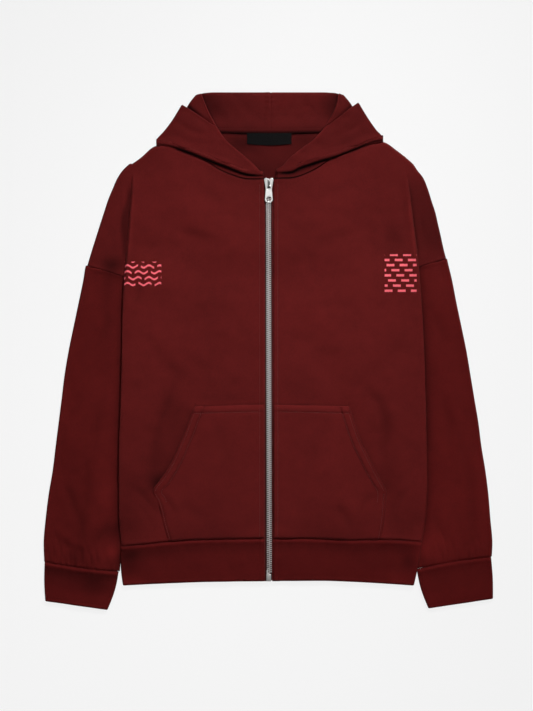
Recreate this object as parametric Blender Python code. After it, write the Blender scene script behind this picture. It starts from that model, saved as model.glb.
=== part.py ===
"""Zip-up hoodie, laid flat on its back with the zip closed and the hood laid open.

X runs across the garment, +Y from hem to hood and +Z up from the surface that it lies on. Sizes
and places in the tables are millimetres. "left" and "right" are the wearer's, so left is +X.
Every cloth piece is a sheet through the middle of its wall, which Solidify makes into a wall.
"""

import math

import bmesh
import bpy
import numpy as np
from mathutils import Vector

MM = 0.001
SIDES = {"right": -1.0, "left": 1.0}

# Cloth
WALL = 2.2  # brushed sweatshirt cloth
BAND_WALL = 2.6  # doubled cloth of the cuffs and the hem band
TAPE_WALL = 0.8
LABEL_WALL = 0.6
SEAM_GAP = 0.3
LAYER = WALL + 0.6  # from the middle of one layer to the middle of the next
BAND_LAYER = BAND_WALL + 0.4
FLOOR = WALL / 2
LIFT = 5.4  # how far a pressed sleeve or the folded hood lifts the back over it
SETTLE = (8.0, 68.0)  # the back comes down to the floor over this distance beside what lifts it
PRESSED_AIR = 1.0
LOOSE_AIR = 1.6
COLLAR_AIR = 2.9
SLEEVE_AIR = 2.2

# Zip
ZIP_X = 1.2
ZIP_EDGE = 8.0  # from the zip's middle to each front edge
TAPE_INNER = 4.3
TAPE_OUTER = 16.0
TAPE_DROP = 1.8  # middle of the tape below the middle of the fronts
TEETH_WIDTH = 3.8
TEETH_HEIGHT = 3.2
TEETH_TOP = 260.0
ZIP_TOP = 274.5
ZIP_BOTTOM = -368.0
BOX_LENGTH = 12.0

# The lines of the body, from the hem to the shoulder
HEM_TOP = -301.0
ARMHOLE_BULGE = 5.0
HEM_RELEASE = (-294.0, -254.0)  # the sleeve comes out from under the body here
BAG_BOTTOM = 182.0


class Table:
    """Rows of named columns. Any column can be read smoothly along the first one."""

    def __init__(self, names, *rows):
        self.names = names.split()
        self.rows = np.array(sorted(rows), float)

    def __call__(self, name, at):
        known = self.rows[:, 0]
        value = self.rows[:, self.names.index(name)]
        slope = np.gradient(value, known)
        i = int(np.clip(np.searchsorted(known, at) - 1, 0, len(known) - 2))
        span = known[i + 1] - known[i]
        t = min(max((at - known[i]) / span, 0.0), 1.0)
        start = (1 + 2 * t) * (1 - t) ** 2 * value[i] + t * (1 - t) ** 2 * span * slope[i]
        end = t * t * (3 - 2 * t) * value[i + 1] - t * t * (1 - t) * span * slope[i + 1]
        return float(start + end)


# Distance out from the middle line, to each side, at a height y
FOLD = Table(
    "y right left",
    (300, 219.0, 217.0), (270, 219.6, 223.0), (210, 223.6, 231.0), (160, 227.6, 237.5),
    (116, 231.6, 241.5), (60, 234.0, 245.5), (0, 235.0, 248.5), (-80, 237.0, 251.0),
    (-160, 239.6, 252.4), (-240, 239.6, 252.4), (-280, 239.0, 249.0), (-311, 236.4, 244.4),
)
SHOULDER = Table(
    "y right left",
    (328, 181.0, 195.6), (318, 196.8, 209.6), (308, 210.4, 221.4), (299, 223.6, 231.4),
    (289, 234.2, 238.2), (280, 240.6, 245.6), (260, 250.0, 254.6), (241, 257.8, 260.6),
    (222, 264.0, 266.8), (203, 270.2, 271.2), (184, 276.2, 275.6), (164, 282.6, 280.0),
    (145, 288.4, 285.0), (137, 290.8, 287.0),
)
SLEEVE_OUTER = Table(
    "y right left",
    (149, 289.0, 285.2), (137, 293.0, 288.0), (116, 296.6, 293.0), (78, 304.4, 300.4),
    (40, 312.4, 308.4), (1, 320.4, 316.4), (-37, 326.8, 322.8), (-76, 331.6, 329.2),
    (-114, 336.4, 335.6), (-152, 341.2, 340.4), (-191, 346.0, 346.8), (-229, 352.4, 351.6),
    (-268, 357.2, 354.8), (-306, 360.4, 358.0), (-337, 359.4, 356.6),
)
SLEEVE_INNER = Table(
    "y right left",
    (73, 82.0, 90.0), (1, 125.0, 137.0), (-79, 165.0, 178.0), (-159, 203.0, 214.0),
    (-223, 231.0, 243.0), (-263, 242.0, 253.0), (-287, 241.0, 250.8), (-304, 239.2, 247.0),
    (-324, 238.2, 241.5), (-352, 240.2, 237.0),
)
SLEEVE_ENDS = Table(
    "side armhole_outer armhole_inner cuff_outer cuff_inner",
    (-1, 137.0, 62.0, -336.4, -352.0), (1, 148.0, 73.0, -329.2, -350.0),
)
# Height y of a line across the garment, at a distance x out from the middle
FRONT_TOP = Table(
    "x right left",
    (0, 277.0, 276.0), (20, 274.8, 276.2), (39, 275.6, 277.0), (58, 281.2, 283.0),
    (77, 289.2, 292.5), (98, 302.0, 306.5), (140, 316.5, 321.0), (172, 325.5, 332.5),
    (182, 326.5, 334.0), (205, 308.4, 320.0), (221, 297.0, 307.5),
)
BACK_TOP = Table(
    "x right left",
    (0, 348.5, 348.5), (40, 348.5, 348.5), (80, 350.0, 350.0), (110, 348.0, 349.0),
    (140, 341.0, 345.0), (172, 330.5, 337.5), (182, 326.5, 334.0), (205, 308.4, 320.0),
    (221, 297.0, 307.5),
)
HOOD_LIP = Table(
    "x right left",
    (8, 279.6, 283.5), (24, 280.4, 284.0), (40, 282.4, 284.6), (61, 290.8, 292.5),
    (85, 298.8, 301.5), (109, 308.4, 311.0), (141, 321.2, 324.0), (170, 328.0, 334.6),
    (180, 330.0, 336.4),
)
HEM_SEAM = Table(
    "x right left",
    (0, -299.2, -299.2), (77, -300.4, -299.8), (141, -302.8, -302.0), (173, -306.0, -302.4),
    (205, -309.2, -302.8), (238, -311.5, -305.0), (250, -311.5, -306.0),
)
HEM_EDGE = Table(
    "x right left",
    (0, -366.8, -366.8), (109, -368.4, -366.8), (173, -370.8, -370.0), (235, -374.0, -374.0),
)
HEM_SIDE = Table(
    "y right left",
    (-305, 236.2, 244.2), (-325, 235.2, 240.8), (-345, 234.0, 237.2), (-360, 233.0, 234.4),
    (-374, 231.6, 231.4),
)
POCKET_EDGE = Table(
    "y right left",
    (-87, 116.8, 127.2), (-107, 125.2, 133.8), (-127, 132.4, 140.4), (-148, 141.4, 148.6),
    (-167, 149.6, 158.0), (-187, 160.2, 168.0), (-206, 173.0, 178.4), (-219, 182.8, 185.4),
    (-224, 184.6, 187.0), (-239, 178.2, 186.6), (-255, 173.2, 185.4), (-276, 168.4, 183.0),
    (-303, 160.6, 178.6),
)
# Half width of the hood's crown, which lies folded under the back
BAG = Table(
    "y right left",
    (330, 165.0, 168.0), (300, 146.0, 148.0), (260, 128.0, 130.0), (220, 112.0, 113.0),
    (195, 92.0, 92.0), (182, 62.0, 62.0),
)
# The hood's flap: one row for each line from its outer fold to the opening's edge. The tip rows
# stand over each other, because the cloth steps down there.
HOOD_RIGHT = Table(
    "row middle_y floor_x floor_y fold_x fold_y fold_z edge_x edge_y edge_z",
    (0, 330, 165.0, 330.0, 179.6, 330.0, 11.5, 9.4, 281.0, 17.0),
    (1, 346, 173.5, 338.0, 176.6, 338.8, 9.6, 23.0, 297.0, 16.2),
    (2, 354, 162.0, 351.0, 165.4, 351.8, 8.2, 45.4, 316.6, 14.6),
    (3, 368, 149.0, 368.2, 152.6, 369.4, 7.0, 69.4, 337.4, 12.6),
    (4, 382, 134.6, 386.0, 139.0, 392.6, 6.9, 84.0, 358.6, 11.0),
    (5, 391, 127.6, 390.4, 131.0, 388.0, 4.5, 85.8, 361.8, 7.8),
    (6, 402, 119.6, 397.0, 122.6, 397.0, 4.3, 98.0, 385.0, 5.4),
    (7, 413, 111.4, 404.4, 114.4, 405.0, 4.1, 107.6, 406.4, 4.6),
)
HOOD_LEFT = Table(
    "row middle_y floor_x floor_y fold_x fold_y fold_z edge_x edge_y edge_z",
    (0, 330, 168.0, 330.0, 182.6, 336.6, 11.5, 13.0, 285.4, 17.0),
    (1, 346, 174.5, 345.0, 178.6, 344.0, 9.6, 33.6, 308.6, 15.8),
    (2, 354, 166.4, 354.0, 169.8, 354.0, 8.2, 51.6, 323.0, 14.2),
    (3, 368, 152.6, 372.0, 156.4, 374.0, 7.0, 72.0, 338.0, 12.2),
    (4, 382, 138.6, 389.4, 143.4, 396.2, 6.9, 91.0, 358.4, 9.6),
    (5, 391, 129.4, 393.0, 132.8, 389.4, 4.5, 94.0, 363.4, 8.2),
    (6, 402, 122.0, 399.2, 124.2, 399.0, 4.3, 107.6, 386.0, 5.4),
    (7, 413, 115.4, 405.4, 117.8, 405.6, 4.1, 111.8, 407.4, 4.6),
)
HOODS = {"right": HOOD_RIGHT, "left": HOOD_LEFT}
HOOD_ROWS = len(HOOD_RIGHT.rows)
CUFF = Table(
    "side outer_x outer_y inner_x inner_y bottom_outer_x bottom_outer_y bottom_inner_x bottom_inner_y",
    (-1, 358.6, -337.0, 240.4, -352.6, 357.6, -399.0, 258.0, -413.0),
    (1, 355.6, -329.8, 237.0, -350.6, 358.8, -395.0, 255.4, -410.6),
)


def rise(value, start, end):
    """0 before start and 1 after end, smoothly."""
    t = min(max((value - start) / (end - start), 0.0), 1.0)
    return t * t * (3 - 2 * t)


def mix(a, b, t):
    return a + (b - a) * t


def spread(start, end, count):
    return [mix(start, end, i / count) for i in range(count + 1)]


# ---- The heights at which the layers lie ----


def armhole_y(side, x):
    """The armhole seam: a nearly straight line from the sleeve's outer fold to its inner one."""
    ends = SIDES[side]
    top = SLEEVE_ENDS("armhole_outer", ends)
    bottom = SLEEVE_ENDS("armhole_inner", ends)
    outer = SLEEVE_OUTER(side, top)
    inner = SLEEVE_INNER(side, bottom)
    t = min(max((outer - x) / (outer - inner), 0.0), 1.0)
    return mix(top, bottom, t) + ARMHOLE_BULGE * math.sin(math.pi * t)


def lift(side, x, y):
    """How much of its lift the back has at a place: 1 over a sleeve or over the folded hood."""
    over_sleeve = 1 - rise(SLEEVE_INNER(side, y) - x, *SETTLE)
    over_sleeve *= 1 - rise(y - armhole_y(side, x), *SETTLE)
    over_sleeve *= rise(y, *HEM_RELEASE)
    over_hood = 1 - rise(x - BAG(side, y), *SETTLE)
    over_hood *= 1 - rise(BAG_BOTTOM - y, *SETTLE)
    return 1 - (1 - over_sleeve) * (1 - over_hood)


def back_z(side, x, y):
    return FLOOR + LIFT * lift(side, x, y)


def front_z(side, x, y):
    lifted = lift(side, x, y)
    air = PRESSED_AIR + LOOSE_AIR * (1 - lifted)
    air += COLLAR_AIR * rise(y, 120, 250) * (1 - rise(x, 20, 150))
    return FLOOR + LIFT * lifted + LAYER + air


def cap_z(layer):
    """Height of the shoulder's outer part, which lies under the fold at the body's side."""
    return FLOOR if layer == "back" else FLOOR + LAYER + PRESSED_AIR


def curl(distance, radius):
    """The part of its full height that a rounded edge has at a distance in from the edge."""
    t = 1 - min(distance / radius, 1.0)
    return math.sqrt(1 - t * t)


# ---- Sheets ----


class Sheet:
    """The middle surface of a piece, put together from grids whose shared points are merged."""

    def __init__(self):
        self.mesh = bmesh.new()
        self.thick = self.mesh.verts.layers.deform.verify()

    def grid(self, rows, closed=False, thick=None):
        """A grid of points in mm. closed joins its last column to its first."""
        verts = []
        for r, row in enumerate(rows):
            line = [self.mesh.verts.new(Vector(p) * MM) for p in row]
            if thick:
                for vert, weight in zip(line, thick[r]):
                    vert[self.thick][0] = weight
            verts.append(line + line[:1] if closed else line)
        for below, above in zip(verts, verts[1:]):
            for i in range(len(below) - 1):
                self.mesh.faces.new((below[i], below[i + 1], above[i + 1], above[i]))

    def solid(self, name, wall, material, thin=None):
        """A named object, with the wall left to Solidify. thin is the least part of the wall."""
        bmesh.ops.remove_doubles(self.mesh, verts=self.mesh.verts, dist=0.02 * MM)
        bmesh.ops.recalc_face_normals(self.mesh, faces=self.mesh.faces)
        data = bpy.data.meshes.new(name)
        self.mesh.to_mesh(data)
        self.mesh.free()
        data.shade_smooth()
        obj = bpy.data.objects.new(name, data)
        bpy.context.scene.collection.objects.link(obj)
        data.materials.append(material)
        solidify = obj.modifiers.new("Wall", "SOLIDIFY")
        solidify.thickness = wall * MM
        solidify.offset = 0
        if thin:
            obj.vertex_groups.new(name="full_wall")
            solidify.vertex_group = "full_wall"
            solidify.thickness_vertex_group = thin
        return obj


def material(name, colour, roughness, metallic=0.0):
    made = bpy.data.materials.new(name)
    made.use_nodes = True
    shader = made.node_tree.nodes["Principled BSDF"]
    shader.inputs["Base Color"].default_value = (*colour, 1)
    shader.inputs["Roughness"].default_value = roughness
    shader.inputs["Metallic"].default_value = metallic
    return made


# ---- Body ----

EDGE_STEPS = (10.0, 4.0, 1.5, 0.0)  # the last columns, in from the rounded fold at the side
EDGE_CURL = 6.0
CAP_STEPS = 3
BODY_ROWS_LOW = 14
BODY_ROWS_HIGH = 7
BODY_COLUMNS = 10
SPLIT = 118.0  # height of the armhole's level at the middle line
CORNER_NOTCH = 2.5  # the shoulder's corner stands clear of the sleeve under it
BACK_SET_IN = 4.0  # the back's fold lies inside the front's
SIDE_PRESS = 0.6  # how far the front's rounded side reaches down over the back's
CAP_EDGE = 3.0  # width of the rounded edge of the shoulder's cap


def body_half(sheet, side, layer):
    """Half of the back, or one front: the panel inside the side fold, and the shoulder's cap."""
    sign = SIDES[side]
    is_back = layer == "back"
    height = back_z if is_back else front_z
    top = BACK_TOP if is_back else FRONT_TOP
    inner = 0.0 if is_back else ZIP_EDGE + sign * ZIP_X
    set_in = BACK_SET_IN if is_back else WALL / 2
    side_low = FLOOR + LIFT if is_back else FLOOR + LIFT + LAYER - SIDE_PRESS
    floor_low = FLOOR if is_back else FLOOR + LAYER
    fold_x = FOLD(side, SPLIT)
    corner = armhole_y(side, fold_x)

    def row(y_of, edge_low):
        """One row of points: even columns, then closer ones where the fold is round."""
        places = [(part, EDGE_STEPS[0]) for part in spread(0, 1, BODY_COLUMNS)]
        places += [(1.0, step) for step in EDGE_STEPS[1:]]
        points = []
        for part, step in places:
            fold = FOLD(side, y_of(mix(inner, fold_x, part))) - set_in
            x = mix(inner, fold - step, part)
            y = y_of(x)
            z = mix(edge_low(y), height(side, x, y), curl(fold - x, EDGE_CURL))
            points.append((sign * x, y, z))
        return points

    def seam(x):
        return HEM_SEAM(side, x) + SEAM_GAP / 2

    def split(x):
        return mix(SPLIT, corner, min(x / fold_x, 1.0))

    def side_edge(y):
        return mix(floor_low, side_low, rise(y, *HEM_RELEASE))

    lower = [
        row(lambda x: mix(seam(x), split(x) + SEAM_GAP, v), side_edge)
        for v in spread(0, 1, BODY_ROWS_LOW)
    ]
    upper = [
        row(
            lambda x: mix(split(x) + CORNER_NOTCH, top(side, x) - SEAM_GAP / 2, v),
            lambda y: cap_z(layer),
        )
        for v in spread(0, 1, BODY_ROWS_HIGH)
    ]
    sheet.grid(lower + upper)
    cap(sheet, side, layer, [points[-1] for points in upper])


def front_places(side):
    """Distances out of the columns along a front's top edge."""
    inner = ZIP_EDGE + SIDES[side] * ZIP_X
    outer = FOLD(side, FRONT_TOP(side, 215)) - WALL / 2 - EDGE_STEPS[0]
    return spread(inner, outer, BODY_COLUMNS)


def front_heights():
    """Heights y of the points along a front's zip edge, which the zip follows."""
    x = ZIP_EDGE
    low = HEM_SEAM("left", x) + SEAM_GAP / 2
    high = FRONT_TOP("left", x) - SEAM_GAP / 2
    lower = spread(low, SPLIT + SEAM_GAP, BODY_ROWS_LOW)
    return lower + spread(SPLIT + CORNER_NOTCH, high, BODY_ROWS_HIGH)


def cap(sheet, side, layer, fold_points):
    """The shoulder outside the fold: lines from the fold out to the shoulder's edge."""
    sign = SIDES[side]
    is_back = layer == "back"
    low = cap_z(layer)
    edge_z = low if is_back else FLOOR + LAYER
    bottom = SLEEVE_ENDS("armhole_outer", sign) + SEAM_GAP / 2
    top = fold_points[-1][1]
    count = len(fold_points) - 1
    rows = []
    for k, start in enumerate(fold_points[:-1]):
        y_out = mix(bottom, top, k / count)
        x_out = SHOULDER(side, y_out) - (SEAM_GAP if is_back else WALL / 2)
        row = []
        for t in spread(0, 1, CAP_STEPS) + [None]:
            at = 1.0 if t is None else t * (1 - CAP_EDGE / (x_out - abs(start[0]) + CAP_EDGE))
            x = mix(abs(start[0]), x_out, at)
            y = mix(start[1], y_out, at)
            if k == 0 and at > 0:
                y = mix(y, armhole_y(side, x) + SEAM_GAP, min(1.0, at * 2))
            row.append((sign * x, y, edge_z if t is None else low))
        rows.append(row)
    rows.append([fold_points[-1]] * len(rows[0]))
    sheet.grid(rows)


def make_body(cloth):
    back = Sheet()
    for side in SIDES:
        body_half(back, side, "back")
    back.solid("back", WALL, cloth)
    for side in SIDES:
        front = Sheet()
        body_half(front, side, "front")
        front.solid("front_" + side, WALL, cloth)


# ---- Sleeves and cuffs ----


TUBE_COLUMNS = 3
FOLD_RUN = 12.5  # least width between what lies on a tube and its inner fold
FOLD_TURN = 2.4  # how far in from its outermost point a fold begins to turn
FOLD_POINTS = ((0.3, 0.2), (0.0, 0.5), (0.3, 0.8))  # parts of the turn inwards and of the height


def flat_tube(sheet, stations, loft, wall, ends, pressed=None):
    """A tube pressed flat. Each station gives its outer and inner point, and loft its height.

    pressed gives the distance from the outer end at which what lies on the tube begins.
    """
    rows = []
    for v, (outer, inner) in enumerate(stations):
        row = []
        width = math.dist(outer, inner)

        def at(distance, z):
            t = distance / width
            x = mix(outer[0], inner[0], t)
            y = mix(outer[1], inner[1], t) + ends(v, t)
            return x, y, z

        low = wall / 2
        inside = wall / 2
        start, end = inside + FOLD_TURN, width - inside - FOLD_TURN
        middle = min(max(pressed(outer), width * 0.4), end - FOLD_RUN) if pressed else width / 2
        places = spread(start, middle, TUBE_COLUMNS)[:-1] + spread(middle, end, TUBE_COLUMNS)
        for place in places:
            row.append(at(place, low))
        high = low + loft(*at(places[-1], 0)[:2])
        for part, z in FOLD_POINTS:
            row.append(at(width - inside - FOLD_TURN * part, mix(low, high, z)))
        for place in reversed(places):
            x, y, _ = at(place, 0)
            row.append((x, y, low + loft(x, y)))
        high = low + loft(*at(places[0], 0)[:2])
        for part, z in reversed(FOLD_POINTS):
            row.append(at(inside + FOLD_TURN * part, mix(low, high, z)))
        rows.append(row)
    sheet.grid(rows, closed=True)


SLEEVE_ROWS = 14
SLEEVE_BULGE = 0.3  # the part of the sleeve over which the armhole's curve fades out


def sleeve_loft(side, x, y):
    """Between the middles of a sleeve's two layers: pressed under the body and loose beside it."""
    out = abs(x) - FOLD(side, min(y, SPLIT))
    loose = rise(out, 3, 34) * rise(armhole_y(side, abs(x)) - y, -10, 60)
    return LAYER - 0.1 + PRESSED_AIR * rise(out, 2, 20) + (SLEEVE_AIR - PRESSED_AIR) * loose


def make_sleeve(side, cloth):
    sign = SIDES[side]
    stations = []
    for v in spread(0, 1, SLEEVE_ROWS):
        y_outer = mix(
            SLEEVE_ENDS("armhole_outer", sign) - SEAM_GAP / 2,
            SLEEVE_ENDS("cuff_outer", sign) + SEAM_GAP / 2,
            v,
        )
        y_inner = mix(
            SLEEVE_ENDS("armhole_inner", sign) - SEAM_GAP / 2,
            SLEEVE_ENDS("cuff_inner", sign) + SEAM_GAP / 2,
            v,
        )
        outer = (sign * SLEEVE_OUTER(side, y_outer), y_outer)
        inner = (sign * SLEEVE_INNER(side, y_inner), y_inner)
        stations.append((outer, inner))

    def bulge(row, t):
        fade = max(0.0, 1 - row / (SLEEVE_ROWS * SLEEVE_BULGE))
        return ARMHOLE_BULGE * math.sin(math.pi * t) * fade

    def pressed(outer):
        return abs(outer[0]) - FOLD(side, min(outer[1], SPLIT)) - 1.0

    sheet = Sheet()
    flat_tube(sheet, stations, lambda x, y: sleeve_loft(side, x, y), WALL, bulge, pressed)
    sheet.solid("sleeve_" + side, WALL, cloth)


CUFF_ROWS = 4
CUFF_AIR = 1.6
CUFF_BOW = {"outer": 1.2, "inner": -2.6}  # how far its two sides bow outwards


def make_cuff(side, rib):
    sign = SIDES[side]
    stations = []
    for v in spread(0, 1, CUFF_ROWS):
        ends = []
        for end in ("outer", "inner"):
            x = mix(CUFF(end + "_x", sign), CUFF("bottom_" + end + "_x", sign), v)
            y = mix(CUFF(end + "_y", sign), CUFF("bottom_" + end + "_y", sign), v)
            ends.append((sign * (x + CUFF_BOW[end] * math.sin(math.pi * v)), y))
        stations.append(ends)
    sheet = Sheet()
    loft = BAND_LAYER + CUFF_AIR
    flat_tube(sheet, stations, lambda x, y: loft, BAND_WALL, lambda row, t: 0.0)
    sheet.solid("cuff_" + side, BAND_WALL, rib)


# ---- Hem band ----

HEM_ROWS = 3
HEM_COLUMNS = 11
HEM_RISE = 0.2  # the band's front layer stands this far above the front that is sewn to it
HEM_SIDE_X = 225.0  # outside this the band's front layer keeps one height


def hem_front_z(side, x):
    return front_z(side, min(x, HEM_SIDE_X), HEM_TOP) + HEM_RISE


def hem_row(v):
    """Once round the band, from one zip edge past both sides to the other."""
    low = BAND_WALL / 2
    halves = {}
    for side, sign in SIDES.items():

        def y_at(x):
            return mix(HEM_SEAM(side, x) - SEAM_GAP / 2, HEM_EDGE(side, x), v)

        side_x = HEM_SIDE(side, y_at(HEM_SIDE_X)) - BAND_WALL / 2
        inner = ZIP_EDGE + sign * ZIP_X
        front = []
        for x in spread(inner, side_x - FOLD_TURN, HEM_COLUMNS):
            front.append((sign * x, y_at(x), hem_front_z(side, x)))
        high = front[-1][2]
        fold = [
            (sign * (side_x - FOLD_TURN * part), y_at(side_x), mix(low, high, z))
            for part, z in reversed(FOLD_POINTS)
        ]
        back = [
            (sign * x, y_at(x), low) for x in spread(side_x - FOLD_TURN, 0, HEM_COLUMNS)
        ]
        halves[side] = front + fold + back
    return halves["right"] + halves["left"][-2::-1]


def make_hem(rib):
    sheet = Sheet()
    sheet.grid([hem_row(v) for v in spread(0, 1, HEM_ROWS)])
    sheet.solid("hem_band", BAND_WALL, rib)


# ---- Hood ----

SLAB = 2 * WALL + SEAM_GAP  # the crown's two layers, which lie folded under the back
HOOD_COLUMNS = 9
BAG_ROWS = (182, 187, 195, 210, 235, 260, 285, 310)
NECK_GAP = 0.5
FOLD_ANGLES = (-45, 0, 45)
LIP = (  # the lower lip, from the neck seam: along the seam or the lip's own line, out, up
    ("seam", NECK_GAP, 0.0), ("inside", 5.0, 1.3), ("lip", WALL / 2, 3.6), ("lip", 4.2, 5.2),
)


def floor_rows(side):
    """The hood's layer on the floor, from the crown's fold up to the opening's top edge."""
    sign = SIDES[side]
    rows, thick = [], []
    for y in BAG_ROWS:
        half = BAG(side, y)
        rows.append([(sign * half * u, y, SLAB / 2) for u in spread(0, 1, HOOD_COLUMNS)])
        thick.append([1.0] * (HOOD_COLUMNS + 1))
    table = HOODS[side]
    for r in range(HOOD_ROWS):
        middle = table("middle_y", r)
        out_x = table("floor_x", r)
        out_y = table("floor_y", r)
        power = 1 + 24 * (r / (HOOD_ROWS - 1)) ** 3
        full = 1.0 if r < 2 else 0.0
        row = []
        for u in spread(0, 1, HOOD_COLUMNS):
            wall = mix(WALL, SLAB, full)
            row.append((sign * out_x * u, mix(middle, out_y, u**power), wall / 2))
        rows.append(row)
        thick.append([full] * (HOOD_COLUMNS + 1))
    return rows, thick


def flap_places(side):
    """Distances out along the lip, from its outer end: those of the front's columns below it."""
    first = HOODS[side]("fold_x", 0)
    last = HOODS[side]("edge_x", 0)
    inside = [x for x in reversed(front_places(side)) if last + 4 < x < first - 4]
    return [first] + inside + [last]


def flap_row(side, r):
    """One line of the flap, from its outer fold to the opening's edge."""
    sign = SIDES[side]
    table = HOODS[side]
    fold = [table("fold_" + axis, r) for axis in "xyz"]
    edge = [table("edge_" + axis, r) for axis in "xyz"]
    fade = (1 - r / (HOOD_ROWS - 1)) ** 2
    row = []
    for lip_x in flap_places(side):
        u = (table("fold_x", 0) - lip_x) / (table("fold_x", 0) - table("edge_x", 0))
        x, y, z = (mix(a, b, u) for a, b in zip(fold, edge))
        lip_line = mix(table("fold_y", 0), table("edge_y", 0), u)
        y += (HOOD_LIP(side, lip_x) - lip_line) * fade
        row.append((sign * x, y, z))
    return row


def lip_rows(side):
    """From the neck seam in under the flap's lower lip and out over it."""
    rows = [[] for _ in LIP]
    for x, _, _ in flap_row(side, 0):
        neck = FRONT_TOP(side, abs(x))
        base = front_z(side, abs(x), neck)
        lip = HOOD_LIP(side, abs(x))
        line = {"seam": neck, "inside": max(lip, neck), "lip": lip}
        for row, (place, out, up) in zip(rows, LIP):
            row.append((x, line[place] + out, base + up))
    return rows


def make_hood(side, cloth):
    sign = SIDES[side]
    sheet = Sheet()
    rows, thick = floor_rows(side)
    first = len(BAG_ROWS)
    middle_gap = SEAM_GAP / 2
    rows = [[(sign * middle_gap, y, z)] + row[1:] for row in rows for _, y, z in row[:1]]
    sheet.grid(rows, thick=thick)
    flap = [flap_row(side, r) for r in range(1, HOOD_ROWS)]
    sheet.grid(lip_rows(side) + flap)
    turns = []
    for r in range(1, HOOD_ROWS):
        start = rows[first + r][-1]
        end = flap[r - 1][0]
        row = [start]
        for angle in FOLD_ANGLES:
            x, y, _ = (mix(a, b, (angle + 90) / 180) for a, b in zip(start, end))
            out = sign * FOLD_TURN * math.cos(math.radians(angle))
            up = (1 + math.sin(math.radians(angle))) / 2
            row.append((x + out, y, mix(start[2], end[2], up)))
        turns.append(row + [end])
    weights = [[0.0] * len(row) for row in turns]
    weights[0][0] = 1.0  # this corner is on the slab's last row
    sheet.grid(turns, thick=weights)
    sheet.solid("hood_" + side, SLAB, cloth, thin=WALL / SLAB)


# ---- What is sewn on ----


def strip(name, wall, finish, rows):
    sheet = Sheet()
    sheet.grid(rows)
    return sheet.solid(name, wall, finish)


def both_sides(x):
    return "right" if x < 0 else "left"


def on_back(x, y, above):
    """A place at a height above the back's inner face."""
    return x, y, back_z(both_sides(x), abs(x), y) + WALL / 2 + above


NECK_TAPE_WALL = 1.0
NECK_TAPE_X = (-84.0, 84.0)
NECK_TAPE_Y = (347.0, 353.4)
NECK_TAPE_DIP = 1.2  # it follows the neck seam, which is lowest in the middle
NECK_TAPE_BEND = 60.0
LABEL_X = (-34.8, 36.4)
LABEL_Y = (328.0, 345.0)
LABEL_RISE = 0.8  # its middle above the back's face, as high as the tape's


def make_trim(cloth, black):
    rows = []
    for y in NECK_TAPE_Y:
        row = []
        for x in spread(*NECK_TAPE_X, 12):
            dip = NECK_TAPE_DIP * math.cos(x / NECK_TAPE_BEND)
            row.append(on_back(x, y - dip, SEAM_GAP + NECK_TAPE_WALL / 2))
        rows.append(row)
    strip("neck_tape", NECK_TAPE_WALL, cloth, rows)
    rows = [[on_back(x, y, LABEL_RISE) for x in spread(*LABEL_X, 6)] for y in spread(*LABEL_Y, 2)]
    strip("label", LABEL_WALL, black, rows)


POCKET_ROWS = 10
POCKET_COLUMNS = 8
POCKET_GAP = 0.6  # to the front's edge beside the zip, and to the hem band
POCKET_SAG = 2.4  # its top edge is this much higher at the zip than at the slanted opening


def make_pocket(side, cloth):
    """A pocket lies on the front and follows it, one layer up."""
    sign = SIDES[side]
    inner = ZIP_EDGE + sign * ZIP_X + POCKET_GAP
    top = POCKET_EDGE.rows[-1][0]
    rows = []
    for v in spread(0, 1, POCKET_ROWS):
        row = []
        for u in spread(0, 1, POCKET_COLUMNS):
            edge = POCKET_EDGE(side, mix(HEM_TOP, top, v))
            x = mix(inner, edge, u)
            y = mix(HEM_SEAM(side, x) + POCKET_GAP, top + POCKET_SAG * (1 - u), v)
            row.append((sign * x, y, front_z(side, x, y) + LAYER))
        rows.append(row)
    strip("pocket_" + side, WALL, cloth, rows)


# ---- Zip ----


def zip_heights(start, end):
    """Heights y along the zip: those of the front's own points between a start and an end."""
    inside = [y for y in front_heights() if start + 2 < y < end - 2]
    return [start] + inside + [end]


def tape_z(y):
    """Middle of the tape's wall, just under the front edges."""
    return front_z("left", ZIP_EDGE, max(y, HEM_TOP)) - TAPE_DROP


def make_zip_sides(side, tape, metal):
    """The woven tape under the front's edge, and its row of teeth as a plain bar."""
    sign = SIDES[side]
    rows = []
    for y in zip_heights(ZIP_BOTTOM, ZIP_TOP):
        row = [(ZIP_X + sign * x, y, tape_z(y)) for x in (TAPE_INNER, TAPE_OUTER)]
        rows.append(row)
    strip("zip_tape_" + side, TAPE_WALL, tape, rows)
    rows = []
    for y in zip_heights(ZIP_BOTTOM + BOX_LENGTH + SEAM_GAP, TEETH_TOP):
        row = [(ZIP_X + sign * x, y, tape_z(y)) for x in (SEAM_GAP / 2, SEAM_GAP / 2 + TEETH_WIDTH)]
        rows.append(row)
    strip("zip_teeth_" + side, TEETH_HEIGHT, metal, rows)


def prism(name, outline, low, high, axis="Z", finish=None):
    """A straight-sided solid: outline is in X and Y, or in Y and Z for the axis X."""
    mesh = bmesh.new()
    ring = []
    for a, b in outline:
        place = (a, b, low) if axis == "Z" else (low, a, b)
        ring.append(mesh.verts.new(Vector(place) * MM))
    face = mesh.faces.new(ring)
    grown = bmesh.ops.extrude_face_region(mesh, geom=[face])
    move = (0, 0, high - low) if axis == "Z" else (high - low, 0, 0)
    for item in grown["geom"]:
        if isinstance(item, bmesh.types.BMVert):
            item.co += Vector(move) * MM
    bmesh.ops.recalc_face_normals(mesh, faces=mesh.faces)
    data = bpy.data.meshes.new(name)
    mesh.to_mesh(data)
    mesh.free()
    if finish:
        data.materials.append(finish)
    obj = bpy.data.objects.new(name, data)
    bpy.context.scene.collection.objects.link(obj)
    return obj


def boolean(obj, other, operation):
    modifier = obj.modifiers.new(operation.title(), "BOOLEAN")
    modifier.operation = operation
    modifier.object = other
    other.hide_render = True
    other.display_type = "WIRE"


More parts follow.
